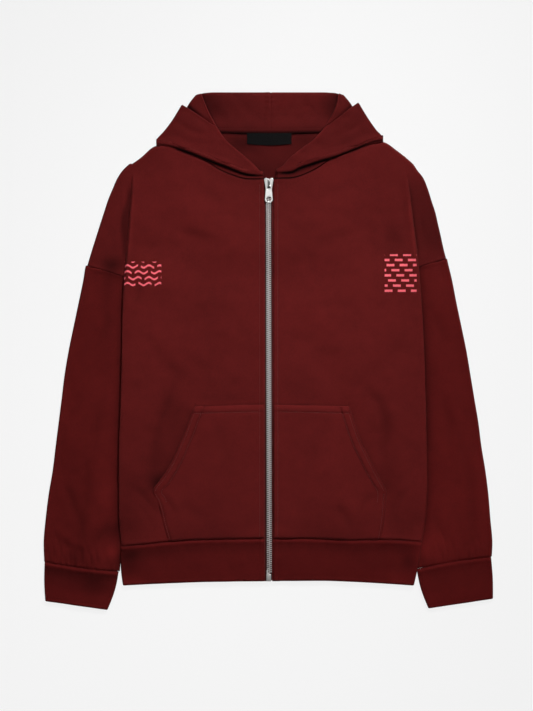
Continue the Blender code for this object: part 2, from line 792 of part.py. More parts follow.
def arc(centre, radius, start, end, count):
    return [
        (
            centre[0] + radius * math.cos(math.radians(a)),
            centre[1] + radius * math.sin(math.radians(a)),
        )
        for a in spread(start, end, count)
    ]


SLIDER_Y = 267.0
SLIDER_PLATE = 1.2
SLIDER_EAR = 3.0
SLIDER_HALF = (7.6, 5.2)  # half its width at the ears and at its lower end
SLIDER_SPLAY = (0.6, 6.0)  # each flank has moved out by the first at the second above its end
WEDGE = ((2.6, 8.0), (1.2, -4.5))  # half its width and its height y, at both ends
SLIDER_REACH = (9.4, -9.6)  # how far it reaches above and below its middle
JOIN = 0.5  # how far parts of the slider that are one piece run into each other
BAIL_HALF = 2.0
BAIL_BAR = 1.5
BAIL_HOLE = 3.0
BAIL_ENDS = (-6.6, 6.2)
PULL_AXIS = (-3.8, 1.45)  # from the slider's middle, and above its top plate
PULL_THICK = 1.6
PULL_LENGTH = 27.0
PULL_TILT = 3.2  # degrees that its round end hangs down
PULL_HALF = (4.4, 6.4)  # half its width at the axis and at its round end
PULL_BACK = 0.9  # from its axis to its upper end and to the window for the bail
PULL_WINDOW = (2.5, 5.4)  # half the window's width, and from the axis to its lower end
PULL_HOLE = 2.9
BOX_CORNER = 1.0
BOX_RISE = 0.6  # how far the bottom box stands over the teeth


def slider_outline():
    """Two round ears at the top and straight flanks that come together downwards."""
    ear_x = SLIDER_HALF[0] - SLIDER_EAR
    ear_y = SLIDER_REACH[0] - SLIDER_EAR
    low_x, low_y = SLIDER_HALF[1], SLIDER_REACH[1]
    right = [(low_x, low_y), (low_x + SLIDER_SPLAY[0], low_y + SLIDER_SPLAY[1])]
    right += arc((ear_x, ear_y), SLIDER_EAR, -20, 150, 5)
    left = [(-x, y) for x, y in reversed(right)]
    return [(ZIP_X + x, SLIDER_Y + y) for x, y in right + left]


def make_slider(metal):
    middle = tape_z(SLIDER_Y)
    gap = TEETH_HEIGHT / 2 + SEAM_GAP
    top = middle + gap + SLIDER_PLATE
    slider = prism("zip_slider", slider_outline(), middle + gap, top, finish=metal)
    bottom = prism("slider_back", slider_outline(), middle - gap - SLIDER_PLATE, middle - gap)
    wedge = [(ZIP_X - x, SLIDER_Y + y) for x, y in WEDGE]
    wedge += [(ZIP_X + x, SLIDER_Y + y) for x, y in reversed(WEDGE)]
    neck = prism("slider_neck", wedge, middle - gap - JOIN, middle + gap + JOIN)
    start, end = (SLIDER_Y + y for y in BAIL_ENDS)
    foot, shoulder, crown = top - JOIN, top + BAIL_HOLE, top + BAIL_HOLE + BAIL_BAR
    outer = [(start, foot), (start, shoulder), (start + BAIL_BAR, crown)]
    outer += [(end - BAIL_BAR, crown), (end, shoulder), (end, foot)]
    inner = [(end - BAIL_BAR, foot), (end - BAIL_BAR, shoulder)]
    inner += [(start + BAIL_BAR, shoulder), (start + BAIL_BAR, foot)]
    bail = prism("slider_bail", outer + inner, ZIP_X - BAIL_HALF, ZIP_X + BAIL_HALF, "X")
    for piece in (bottom, neck, bail):
        boolean(slider, piece, "UNION")
    return top


def make_pull(metal, slider_top):
    """The pull hangs in the bail. Its origin is on the axis that it turns about."""
    half_top, half_end = PULL_HALF
    end_centre = (0, -PULL_LENGTH + half_end)
    outline = [(half_top, PULL_BACK), (-half_top, PULL_BACK)] + arc(end_centre, half_end, 180, 360, 8)
    pull = prism("zip_pull", outline, -PULL_THICK / 2, PULL_THICK / 2, finish=metal)
    half, depth = PULL_WINDOW
    window = [(-half, -PULL_BACK), (half, -PULL_BACK), (half, -depth), (-half, -depth)]
    hole = arc(end_centre, PULL_HOLE, 0, 330, 11)
    axis = Vector((ZIP_X, SLIDER_Y + PULL_AXIS[0], slider_top + PULL_AXIS[1])) * MM
    cutters = [
        prism("pull_window", window, -PULL_THICK, PULL_THICK),
        prism("pull_hole", hole, -PULL_THICK, PULL_THICK),
    ]
    for piece in [pull] + cutters:
        piece.location = axis
        piece.rotation_euler = (math.radians(PULL_TILT), 0, 0)
    for cutter in cutters:
        boolean(pull, cutter, "DIFFERENCE")


def make_box(metal):
    """The box at the zip's lower end, round the ends of both tapes' inner edges."""
    z = tape_z(ZIP_BOTTOM)
    half = TAPE_INNER - SEAM_GAP
    right = [
        (half - BOX_CORNER, 0), (half, BOX_CORNER), (half, BOX_LENGTH),
    ]
    outline = [(ZIP_X + x, ZIP_BOTTOM + y) for x, y in right]
    outline += [(ZIP_X - x, ZIP_BOTTOM + y) for x, y in reversed(right)]
    low, high = z - TEETH_HEIGHT / 2, z + TEETH_HEIGHT / 2 + BOX_RISE
    prism("zip_box", outline, low, high, finish=metal)


def main():
    for obj in list(bpy.data.objects):
        bpy.data.objects.remove(obj)
    cloth = material("sweatshirt_cloth", (0.10, 0.012, 0.013), 0.9)
    rib = material("band_cloth", (0.085, 0.011, 0.012), 0.9)
    tape = material("zip_tape", (0.06, 0.01, 0.011), 0.85)
    metal = material("zip_metal", (0.62, 0.61, 0.6), 0.3, 1.0)
    black = material("label_weave", (0.008, 0.008, 0.009), 0.7)
    make_body(cloth)
    make_hem(rib)
    for side in SIDES:
        make_sleeve(side, cloth)
        make_cuff(side, rib)
        make_hood(side, cloth)
        make_pocket(side, cloth)
        make_zip_sides(side, tape, metal)
    make_trim(cloth, black)
    slider_top = make_slider(metal)
    make_pull(metal, slider_top)
    make_box(metal)


main()
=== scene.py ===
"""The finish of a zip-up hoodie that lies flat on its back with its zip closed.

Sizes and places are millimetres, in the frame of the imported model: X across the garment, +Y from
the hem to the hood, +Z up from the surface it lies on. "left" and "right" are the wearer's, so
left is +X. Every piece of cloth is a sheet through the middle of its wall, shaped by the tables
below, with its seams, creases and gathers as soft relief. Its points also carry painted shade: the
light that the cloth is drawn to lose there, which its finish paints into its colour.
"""

import math

import bmesh
import bpy
import numpy as np
from mathutils import Matrix, Vector


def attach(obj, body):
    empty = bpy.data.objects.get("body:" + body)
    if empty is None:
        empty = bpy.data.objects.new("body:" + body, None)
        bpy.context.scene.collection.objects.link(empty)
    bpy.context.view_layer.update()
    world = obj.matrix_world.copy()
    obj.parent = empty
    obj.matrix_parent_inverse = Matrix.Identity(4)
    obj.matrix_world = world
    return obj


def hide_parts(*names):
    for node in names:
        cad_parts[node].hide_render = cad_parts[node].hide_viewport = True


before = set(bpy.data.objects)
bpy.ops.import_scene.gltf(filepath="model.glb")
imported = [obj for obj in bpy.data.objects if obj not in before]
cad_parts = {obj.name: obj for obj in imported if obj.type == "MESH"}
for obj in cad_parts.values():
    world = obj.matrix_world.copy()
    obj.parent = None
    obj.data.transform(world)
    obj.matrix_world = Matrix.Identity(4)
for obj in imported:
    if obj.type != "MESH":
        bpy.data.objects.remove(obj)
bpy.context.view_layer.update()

MM = 0.001
SIDES = {"right": -1.0, "left": 1.0}

# Cloth
WALL = 2.2  # brushed sweatshirt cloth
BAND_WALL = 2.6  # doubled cloth of the cuffs and the hem band
SKIN = 2.0  # a wall as it is drawn here
BAND_SKIN = 2.4
SEAM_GAP = -0.4  # sewn edges run a little into each other, so no floor shows between them
CLEAR = 0.3
LAYER = WALL + 0.6  # from the middle of one layer to the middle of the next
BAND_LAYER = BAND_WALL + 0.4
FLOOR = WALL / 2
LIFT = 5.4  # how far a pressed sleeve or the folded hood lifts the back over it
SETTLE = (8.0, 68.0)  # from the edge of what lies below, where the back comes down beside it
PRESSED_AIR = 1.0
LOOSE_AIR = 1.6
COLLAR_AIR = 2.9
SLEEVE_AIR = 2.2
FOLD_TURN = 2.4  # radius of a fold
EDGE_CURL = 6.0  # radius of a front's edge at the side fold

# Zip
ZIP_X = 0.1
ZIP_EDGE = 8.0
TAPE_DROP = 1.8
ZIP_BOTTOM = -368.0
BOX_LENGTH = 12.0
TEETH_START = -354.6
TOOTH_PITCH = 3.2045
TEETH_COUNT = 192
TEETH_X = (1.0, -0.5)  # the closed rows lie a little askew: at the bottom, and at the top

HEM_TOP = -301.0
ARMHOLE_BULGE = 5.0
HEM_RELEASE = (-294.0, -254.0)  # heights between which the hem band holds the body down
BAG_BOTTOM = 182.0
SPLIT = 118.0  # height at which the body's side fold meets the armhole
BODY_HALF = 225.0  # about the body's half width
BODY_LOW = 420.0  # and its height below the split


# ---- Tables and soft steps ----


class Table:
    """Rows of named columns. Any column can be read smoothly along the first one."""

    def __init__(self, names, *rows):
        self.names = names.split()
        self.rows = np.array(sorted(rows), float)

    def __call__(self, name, at):
        known = self.rows[:, 0]
        value = self.rows[:, self.names.index(name)]
        slope = np.gradient(value, known)
        at = np.asarray(at, float)
        i = np.clip(np.searchsorted(known, at) - 1, 0, len(known) - 2)
        span = known[i + 1] - known[i]
        t = np.clip((at - known[i]) / span, 0.0, 1.0)
        start = (1 + 2 * t) * (1 - t) ** 2 * value[i] + t * (1 - t) ** 2 * span * slope[i]
        end = t * t * (3 - 2 * t) * value[i + 1] - t * t * (1 - t) * span * slope[i + 1]
        return start + end


def rise(value, start, end):
    """0 before start and 1 after end, smoothly."""
    t = np.clip((value - start) / (end - start), 0.0, 1.0)
    return t * t * (3 - 2 * t)


def mix(a, b, t):
    return a + (b - a) * t


def hump(distance, width):
    """1 on a line, and softly down to 0 beside it."""
    return np.exp(-((distance / width) ** 2))


def curl(distance, radius):
    """The part of its full height that a rounded edge has at a distance in from the edge."""
    t = 1 - np.clip(distance / radius, 0.0, 1.0)
    return np.sqrt(1 - t * t)

# ---- Places of the edges, folds and seams ----

# Distance out from the middle line, to each side, at a height y
FOLD = Table(
    "y right left",
    (300, 219, 217), (270, 219.6, 223), (210, 223.6, 231), (160, 227.6, 237.5), (116, 231.6, 241.5),
    (60, 234, 245.5), (0, 235, 248.5), (-80, 237, 251), (-160, 239.6, 252.4), (-240, 239.6, 252.4),
    (-280, 239, 249), (-311, 236.4, 244.4),
)
SHOULDER = Table(
    "y right left",
    (328, 181, 195.6), (318, 196.8, 209.6), (308, 210.4, 221.4), (299, 223.6, 231.4),
    (289, 234.2, 238.2), (280, 240.6, 245.6), (260, 250, 254.6), (241, 257.8, 260.6), (222, 264, 266.8),
    (203, 270.2, 271.2), (184, 276.2, 275.6), (164, 282.6, 280), (145, 288.4, 285), (137, 290.8, 287),
)
SLEEVE_OUTER = Table(
    "y right left",
    (149, 289, 285.2), (137, 293, 288), (116, 296.6, 293), (78, 304.4, 300.4), (40, 312.4, 308.4),
    (1, 320.4, 316.4), (-37, 326.8, 322.8), (-76, 331.6, 329.2), (-114, 336.4, 335.6),
    (-152, 341.2, 340.4), (-191, 346, 346.8), (-229, 352.4, 351.6), (-268, 357.2, 354.8),
    (-306, 360.4, 358), (-337, 359.4, 356.6),
)
SLEEVE_INNER = Table(
    "y right left",
    (73, 82, 90), (1, 125, 137), (-79, 165, 178), (-159, 203, 214), (-223, 229, 239),
    (-263, 236.5, 243.6), (-287, 236.6, 243.4), (-304, 235.6, 242.2), (-324, 236.4, 239),
    (-352, 238.4, 236.4),
)
# Heights of a sleeve's two ends, each at its outer and then at its inner fold
SLEEVE_ENDS = {
    "right": {"armhole": (137, 62), "cuff": (-336.4, -352)},
    "left": {"armhole": (148, 73), "cuff": (-328, -348.4)},
}
# Height y of a line across the garment, at a distance x out from the middle
FRONT_TOP = Table(
    "x right left",
    (0, 277, 276), (20, 274.8, 276.2), (39, 275.6, 277), (58, 281.2, 283), (77, 289.2, 292.5),
    (98, 302, 306.5), (140, 318.3, 321), (172, 328.2, 332.5), (182, 327, 334), (205, 308.4, 320),
    (221, 297, 307.5),
)
BACK_TOP = Table(
    "x right left",
    (0, 348.5, 348.5), (40, 348.5, 348.5), (80, 350, 350), (110, 348, 349), (140, 341, 345),
    (172, 330.5, 337.5), (182, 326.5, 334), (205, 308.4, 320), (221, 297, 307.5),
)
HOOD_LIP = Table(
    "x right left",
    (8, 279.6, 283.5), (24, 280.4, 284.4), (38, 282.4, 286), (50, 286.6, 292.2), (61, 291.4, 296),
    (85, 300.2, 303.8), (109, 309.8, 310.8), (141, 322.2, 323.6), (170, 329.6, 334.6),
    (180, 331, 336.4),
)
HEM_SEAM = Table(
    "x right left",
    (0, -299.2, -299.2), (77, -300.4, -299.8), (141, -302.8, -302), (173, -306, -301.2),
    (205, -309.2, -301.8), (238, -311.5, -304.4), (250, -311.5, -305.4),
)
HEM_EDGE = Table(
    "x right left",
    (0, -366.8, -366.8), (109, -368.4, -366.8), (173, -370.8, -370), (235, -374, -374),
)
HEM_SIDE = Table(
    "y right left",
    (-305, 237.4, 245), (-325, 237.4, 242.2), (-345, 237, 239), (-360, 235.6, 235.6),
    (-374, 233.6, 232.6),
)
POCKET_EDGE = Table(
    "y right left",
    (-87, 116.8, 127.2), (-107, 125.2, 133.8), (-127, 132.4, 140.4), (-148, 141.4, 148.6),
    (-167, 149.6, 158), (-187, 160.2, 168), (-206, 173, 178.4), (-219, 182.8, 185.4),
    (-224, 184.6, 187), (-239, 178.2, 186.6), (-255, 173.2, 185.4), (-276, 168.4, 183),
    (-303, 160.6, 178.6),
)
# The crown of the hood, folded under the back: its half width at a height y
BAG = Table(
    "y right left",
    (330, 165, 168), (300, 146, 148), (260, 128, 130), (220, 112, 113), (195, 92, 92), (182, 62, 62),
)
# The hood's flap: one row for each line from its outer fold to the opening's edge. The lower part
# ends in the tip, and the upper part comes out from under it. floor is the edge of the layer below
# it, fold its outer fold, and edge its edge at the opening.
HOOD_COLUMNS = "row floor_x floor_y fold_x fold_y fold_z edge_x edge_y edge_z"
HOOD = {
    "right": {
        "lower": Table(
            HOOD_COLUMNS,
            (0, 165, 330, 179.6, 330, 11, 9.4, 281, 15),
            (1, 173.5, 338, 176.6, 338.8, 9.6, 23, 297, 16.2),
            (2, 162, 351, 165.4, 351.8, 8.2, 45.4, 316.6, 14.6),
            (3, 149, 368.2, 152.6, 369.4, 7, 69.4, 337.4, 12.6),
            (4, 134.6, 386, 139, 392.6, 6.9, 84, 358.6, 11),
        ),
        "upper": Table(
            HOOD_COLUMNS,
            (5, 126.6, 390.4, 130, 388, 6, 85.8, 361.8, 9.8),
            (6, 120.6, 399, 123.6, 398.6, 6.4, 98, 385, 9.4),
            (7, 112, 409.6, 115, 409.6, 5.6, 108.6, 411.4, 7.6),
        ),
    },
    "left": {
        "lower": Table(
            HOOD_COLUMNS,
            (0, 168, 330, 182.6, 336.6, 11, 13, 285.4, 15),
            (1, 174.5, 345, 178.6, 344, 9.6, 33.6, 308.6, 15.8),
            (2, 166.4, 354, 169.8, 354, 8.2, 51.6, 323, 14.2),
            (3, 152.6, 372, 156.4, 374, 7, 72, 338, 12.2),
            (4, 138.6, 389.4, 143.4, 396.2, 6.9, 91, 358.4, 9.6),
        ),
        "upper": Table(
            HOOD_COLUMNS,
            (5, 129.4, 393, 132.8, 389.4, 6, 94, 363.4, 9.8),
            (6, 123.4, 400.2, 125.8, 400, 6.4, 106.6, 387, 9.4),
            (7, 115, 409.8, 117.6, 409.8, 5.6, 112.6, 411.6, 7.6),
        ),
    },
}
HOOD_TOP = 414.2  # the hood's top edge at the middle
# A cuff's two folds: X and Y at its seam, and then at its end
CUFF = {
    "right": {"outer": (358.6, -337, 357.6, -399), "inner": (240.4, -352.6, 258, -413)},
    "left": {"outer": (355.6, -328.6, 358.8, -395), "inner": (237, -349, 255.4, -410.6)},
}

# ---- Creases and painted shading ----
# A soft trough, or a ridge where the depth is negative: X and Y at its start and at its end, how
# far its middle bends to the left of its way, its width and its depth. X is signed, as in the frame.
FRONT_CREASES = {
    "right": (
        (-134.8, -22.8, -189.2, -206.8, -12, 9, 1.8), (-203.6, 121.2, -219, 70, 3, 6, 1.6),
        (-120, 190, -60, 120, 10, 14, 0.5), (-200, 30, -120, -60, -8, 11, 0.9),
        (-226, -210, -176, -270, 4, 7, 1.4), (-214, -240, -180, -292, 4, 5, 1.1),
        (-60, 60, -20, -40, 6, 13, 0.7), (-150, 260, -60, 225, 10, 10, 0.9),
    ),
    "left": (
        (154.8, -56.4, 192, -150, 8, 9, 1.8), (186, -60, 205, -286, -10, 11, 1.4),
        (171, 214, 178, 81, 3, 9, -1.6), (228, 255, 214, 200, -4, 7, 1.4),
        (120, 180, 50, 130, -8, 13, 0.9), (215, 20, 150, -40, 9, 12, 0.9),
        (222, -215, 190, -280, -4, 7, 1.3), (60, 40, 22, -50, -6, 12, 0.7),
        (150, 265, 60, 228, -9, 10, 0.9),
    ),
}
POCKET_CREASES = {
    "right": (
        (-90, -110, -70, -200, 6, 11, 1.1), (-140, -240, -80, -275, -5, 9, 0.9),
        (-176, -226, -150, -262, 4, 5, 1.1),
    ),
    "left": (
        (96, -108, 60, -210, -7, 12, 1.1), (104, -248, 134, -288, 5, 9, 1.6),
        (172, -228, 140, -262, -4, 6, 1.1),
    ),
}
SLEEVE_CREASES = {
    "right": (
        (-291.6, -142.8, -315.6, -342.8, 9, 9, 2.2), (-262, -60, -280, -190, -6, 8, 1.4),
        (-330, -210, -300, -300, 6, 7, 1.3), (-255, 60, -285, 0, 6, 8, 1.1),
        (-345, -290, -290, -322, -5, 6, 1.3), (-250, -250, -285, -316, 5, 6, 1.6),
    ),
    "left": (
        (314.8, -174.8, 324, -318.8, 6, 9, 2.2), (272, -50, 290, -180, 6, 8, 1.4),
        (300, -110, 326, -200, -5, 8, 1.1), (268, 60, 292, 5, -6, 8, 1.1),
        (345, -285, 300, -318, 5, 6, 1.3), (264, -255, 292, -316, -5, 6, 1.6),
    ),
}
HOOD_CREASES = {
    "right": (
        (-150, 372, -104, 344, -5, 6, 1.4), (-166, 348, -110, 322, 5, 7, 1.1),
        (-120, 376, -92, 352, 3, 5, 1.1),
    ),
    "left": (
        (154, 374, 108, 344, 5, 6, 1.3), (168, 350, 112, 322, -5, 7, 1.1),
        (128, 378, 100, 352, -3, 5, 1.1),
    ),
}
CAP_CREASES = {
    "right": ((-233.5, 262, -229, 165, 2, 5, -2.2), (-262, 210, -250, 150, 4, 8, 1.1)),
    "left": ((243, 235, 250, 165, -2, 6, 0.9), (262, 215, 256, 155, -4, 8, 1.1)),
}
BACK_CREASES = (
    (-180, 60, -60, -60, 12, 14, -1.3), (170, 40, 70, -90, -10, 14, -1.3),
    (-150, -120, -30, -240, 10, 12, -1.1), (150, -140, 40, -250, -12, 12, -1.1),
    (-30, 322, -10, 296, 3, 6, 1.1), (34, 324, 14, 296, -3, 6, 1.1),
)

# Soft places of painted shade, where the cloth is drawn darker, or of painted light where the amount
# is negative: middle X and Y, half width, half height, amount
GARMENT_PAINTED_SHADING = (
    (-150, 258, 74, 52, -0.13), (-44, 162, 36, 30, -0.12), (3, 276, 60, 28, 0.17),
    (-96, 62, 34, 76, 0.11), (-194, 62, 28, 52, -0.11), (70, 42, 40, 38, -0.14),
    (168, 76, 32, 66, -0.10), (198, 176, 18, 40, 0.20), (52, -56, 40, 34, 0.13),
    (-60, -56, 42, 24, 0.09), (-226, -250, 22, 66, 0.18), (124, -140, 36, 90, -0.08),
    (190, -234, 26, 28, -0.12), (-12, -292, 60, 14, -0.14), (-250, 140, 20, 12, 0.42),
    (250, 139, 18, 8, 0.10), (-262, 166, 30, 16, 0.06), (-314, -222, 14, 64, 0.12),
    (-270, -292, 24, 14, 0.20), (300, -216, 54, 110, -0.17), (334, -260, 20, 80, -0.10),
    (272, -306, 36, 26, -0.30), (345, -262, 20, 84, -0.14), (-280, -378, 22, 18, 0.26),
    (-226, -334, 24, 22, 0.38), (-165, -326, 42, 14, 0.10), (-250, -284, 14, 12, 0.28),
    (-310, -328, 14, 12, 0.24), (-250, -322, 13, 11, -0.45), (252, -320, 20, 13, -0.35),
    (168, -290, 20, 14, -0.20), (-86, -244, 24, 24, 0.10), (138, -246, 20, 36, -0.09),
    (-110, 204, 60, 20, -0.06), (-258, 60, 11, 84, 0.15), (-72, -74, 34, 9, 0.14),
    (-294, -342, 16, 14, 0.14), (224, -336, 10, 16, 0.30), (-256, -240, 9, 36, -0.10),
    (-250, 120, 12, 24, 0.20), (10, -284, 26, 9, -0.14),
    (-222, -370, 34, 11, -0.30), (206, -366, 32, 13, -0.34), (300, -370, 60, 30, -0.04),
    (-290, 20, 40, 120, 0.04), (-262, -250, 20, 50, -0.08),
)
FRONT_PAINTED_SHADING = (
    *GARMENT_PAINTED_SHADING, (-150, -112, 22, 54, 0.20), (-178, -186, 24, 44, 0.26), (-180, -208, 14, 14, 0.32),
)
THROAT_PAINTED_SHADING = (
    (-44, 336, 24, 13, 0.44), (58, 338, 22, 13, 0.36), (-14, 328, 34, 11, 0.20), (8, 310, 26, 12, -0.08),
)
FLAP_PAINTED_SHADING = ((128, 334, 22, 14, 0.10), (-90, 345, 40, 26, -0.05))
FAR_PAINTED_SHADING = (
    (40, 400, 60, 22, -0.10), (8, 402, 36, 14, -0.16), (-50, 364, 48, 13, 0.16), (66, 362, 34, 14, 0.12),
)


# ---- Relief ----

TROUGH_SHADE = 0.07  # for each mm of depth


def creases(x, y, rows, troughs=False):
    """The height that soft creases add at signed places, each with a ridge along one side.

    With troughs, it is instead the light that their troughs lose.
    """
    total = np.zeros(np.broadcast(x, y).shape)
    for x0, y0, x1, y1, bow, width, depth in rows:
        run_x, run_y = x1 - x0, y1 - y0
        length = math.hypot(run_x, run_y)
        along = ((x - x0) * run_x + (y - y0) * run_y) / length**2
        t = np.clip(along, 0.0, 1.0)
        aside = ((y - y0) * run_x - (x - x0) * run_y) / length - bow * 4 * t * (1 - t)
        fade = rise(along, -0.12, 0.35) * (1 - rise(along, 0.6, 1.12))
        trough = hump(aside, width)
        if troughs:
            total = total + TROUGH_SHADE * max(depth, 0.0) * fade * trough
        else:
            total = total - depth * fade * (trough - 0.45 * hump(aside - 1.9 * width, 1.2 * width))
    return total


def painted_shading(x, y, rows):
    """The light that the cloth loses at signed places."""
    total = np.zeros(np.broadcast(x, y).shape)
    for x0, y0, half_x, half_y, amount in rows:
        total = total + amount * np.exp(-(((x - x0) / half_x) ** 2) - ((y - y0) / half_y) ** 2)
    return total


def unevenness(x, y, size, seed):
    """Gentle hills and hollows, roughly from -1 to 1 and about as wide as size."""
    random = np.random.default_rng(seed)
    total = np.zeros(np.broadcast(x, y).shape)
    waves = 12
    for _ in range(waves):
        angle, phase = random.uniform(0, 2 * math.pi, 2)
        length = size * random.uniform(1.3, 3.2)
        total += np.sin((x * math.cos(angle) + y * math.sin(angle)) * 2 * math.pi / length + phase)
    return total / math.sqrt(waves)


def uneven(x, y, rows, *waves):
    """Creases, and unevenness in amounts, sizes and seeds, at signed places."""
    total = creases(x, y, rows)
    for amount, size, seed in waves:
        total = total + amount * unevenness(x, y, size, seed)
    return total


def ripples(along, length, seed):
    """Uneven gathers along a seam, from -1 to 1."""
    turn = 2 * math.pi / length
    return np.sin(along * turn + 1.3 * np.sin(along * turn / 3.7 + seed) + seed)


def seam(distance, depth=1.1, width=1.5):
    """A sewn line: a groove with a low ridge beside it."""
    return -depth * hump(distance, width) + 0.45 * depth * hump(distance - 2.6 * width, 1.5 * width)


# ---- The heights at which the layers lie ----


def armhole_y(side, x):
    top, bottom = SLEEVE_ENDS[side]["armhole"]
    outer = SLEEVE_OUTER(side, top)
    inner = SLEEVE_INNER(side, bottom)
    t = np.clip((outer - x) / (outer - inner), 0.0, 1.0)
    return mix(top, bottom, t) + ARMHOLE_BULGE * np.sin(math.pi * t)


def lift(side, x, y):
    """How much of its lift the back has at a place: 1 over a sleeve or over the folded hood."""
    over_sleeve = 1 - rise(SLEEVE_INNER(side, y) - x, *SETTLE)
    over_sleeve = over_sleeve * (1 - rise(y - armhole_y(side, x), *SETTLE)) * rise(y, *HEM_RELEASE)
    over_hood = 1 - rise(x - BAG(side, y), *SETTLE)
    over_hood = over_hood * (1 - rise(BAG_BOTTOM - y, *SETTLE))
    return 1 - (1 - over_sleeve) * (1 - over_hood)


def back_z(side, x, y):
    return FLOOR + LIFT * lift(side, x, y)


def front_z(side, x, y):
    lifted = lift(side, x, y)
    air = PRESSED_AIR + LOOSE_AIR * (1 - lifted)
    air = air + COLLAR_AIR * rise(y, 120, 250) * (1 - rise(x, 20, 150))
    return FLOOR + LIFT * lifted + LAYER + air


def zip_edge(side):
    return ZIP_EDGE + SIDES[side] * ZIP_X


TURNED = 6.4  # width of the front edge that is turned back at the zip and stitched down
TURNED_RISE = 0.5
GROOVE = 1.1  # half width of a stitched line's groove


def turned_edge(x, side):
    """The relief of the turned and stitched edge beside the zip."""
    out = x - zip_edge(side)
    raised = TURNED_RISE * (1 - rise(out, TURNED - 1.2, TURNED + 1.6))
    return raised - 0.45 * hump(out - TURNED, GROOVE)


def front_relief(side, x, y):
    signed = SIDES[side] * x
    relief = uneven(signed, y, FRONT_CREASES[side], (0.75, 44, 11), (0.26, 15, 12))
    return relief * mix(0.3, 1.0, rise(x, 12, 40))


def front_height(side, x, y):
    """Middle of a front's wall, with its relief."""
    height = front_z(side, x, y) + front_relief(side, x, y) + turned_edge(x, side)
    height = height + seam(y - HEM_SEAM(side, x), 1.5, 1.5)
    neck = FRONT_TOP(side, x) - y
    return height - 0.8 * (1 - rise(neck, -2, 6)) + 0.5 * hump(neck - 3.4, 1.6) * (1 - rise(x, 120, 160))


# ---- Meshes ----


def placed(name, data):
    """An object in the scene, at the origin."""
    obj = bpy.data.objects.new(name, data)
    bpy.context.scene.collection.objects.link(obj)
    return obj


def rule(length, step, first=(0.0,), last=(0.0,)):
    """How lines share out a width: the part of the whole, and the distance added, for each."""
    first, last = np.array(first, float), np.array(last, float)
    count = max(2, round((length - first[-1] - last[-1]) / step))
    parts = np.linspace(0, 1, count + 1)[1:-1]
    part = np.concatenate([np.zeros(len(first)), parts, np.ones(len(last))])
    inside = first[-1] * (1 - parts) - last[-1] * parts
    return part, np.concatenate([first, inside, -last[::-1]])


def across(shares, start, end):
    part, added = shares
    return mix(start, end, part) + added


def down(shares, start, end):
    part, added = (values[:, None] for values in shares)
    return mix(start, end, part) + added


# Distances in from an edge at which lines lie close to it
SEAM_RUN = (0, 0.6, 1.2, 1.9, 2.8, 4, 5.6, 7.8)
EDGE_RUN = (0, 0.25, 0.6, 1.1, 1.8, 2.8, 4.2, 6.2)
ZIP_RUN = (0, 0.25, 0.6, 1.1, 1.8, 2.8, 4, 5, 5.8, 6.4, 7, 7.8, 9.2, 11.5, 15)
FOLD_RUN = (0, 0.15, 0.4, 0.8, 1.3, 1.9, 2.6, 3.4, 4.3, 5.3, 6.5, 8.4, 11)
CORNER_RUN = (0, 1.5, 4)
SLANT_RUN = (0, 0.25, 0.6, 1.1, 1.8, 2.6, 3.4, 4.4, 6.2, 8.4, 10.6, 12.4, 13.6, 15, 17.5)
POCKET_TOP_RUN = (0, 0.25, 0.6, 1.1, 1.8, 2.8, 4.2, 6.2, 8.4, 9.6, 10.5, 11.4, 13)


def points(x, y, z):
    """A grid of places from three arrays of one shape, or of shapes that fit."""
    return np.stack(np.broadcast_arrays(x, y, z), -1).astype(float)


def nose(count):
    """Distances in from an end and parts of the height, round a fold."""
    angles = np.radians(np.linspace(-90, 90, count + 2)[1:-1])
    return FOLD_TURN * (1 - np.cos(angles)), (1 + np.sin(angles)) / 2


# The point attribute of painted shade: the light each point of cloth is drawn to lose, with painted
# light below 0
SHADE_ATTRIBUTE = "painted_shade"
SHADE_RANGE = (-0.4, 0.96)


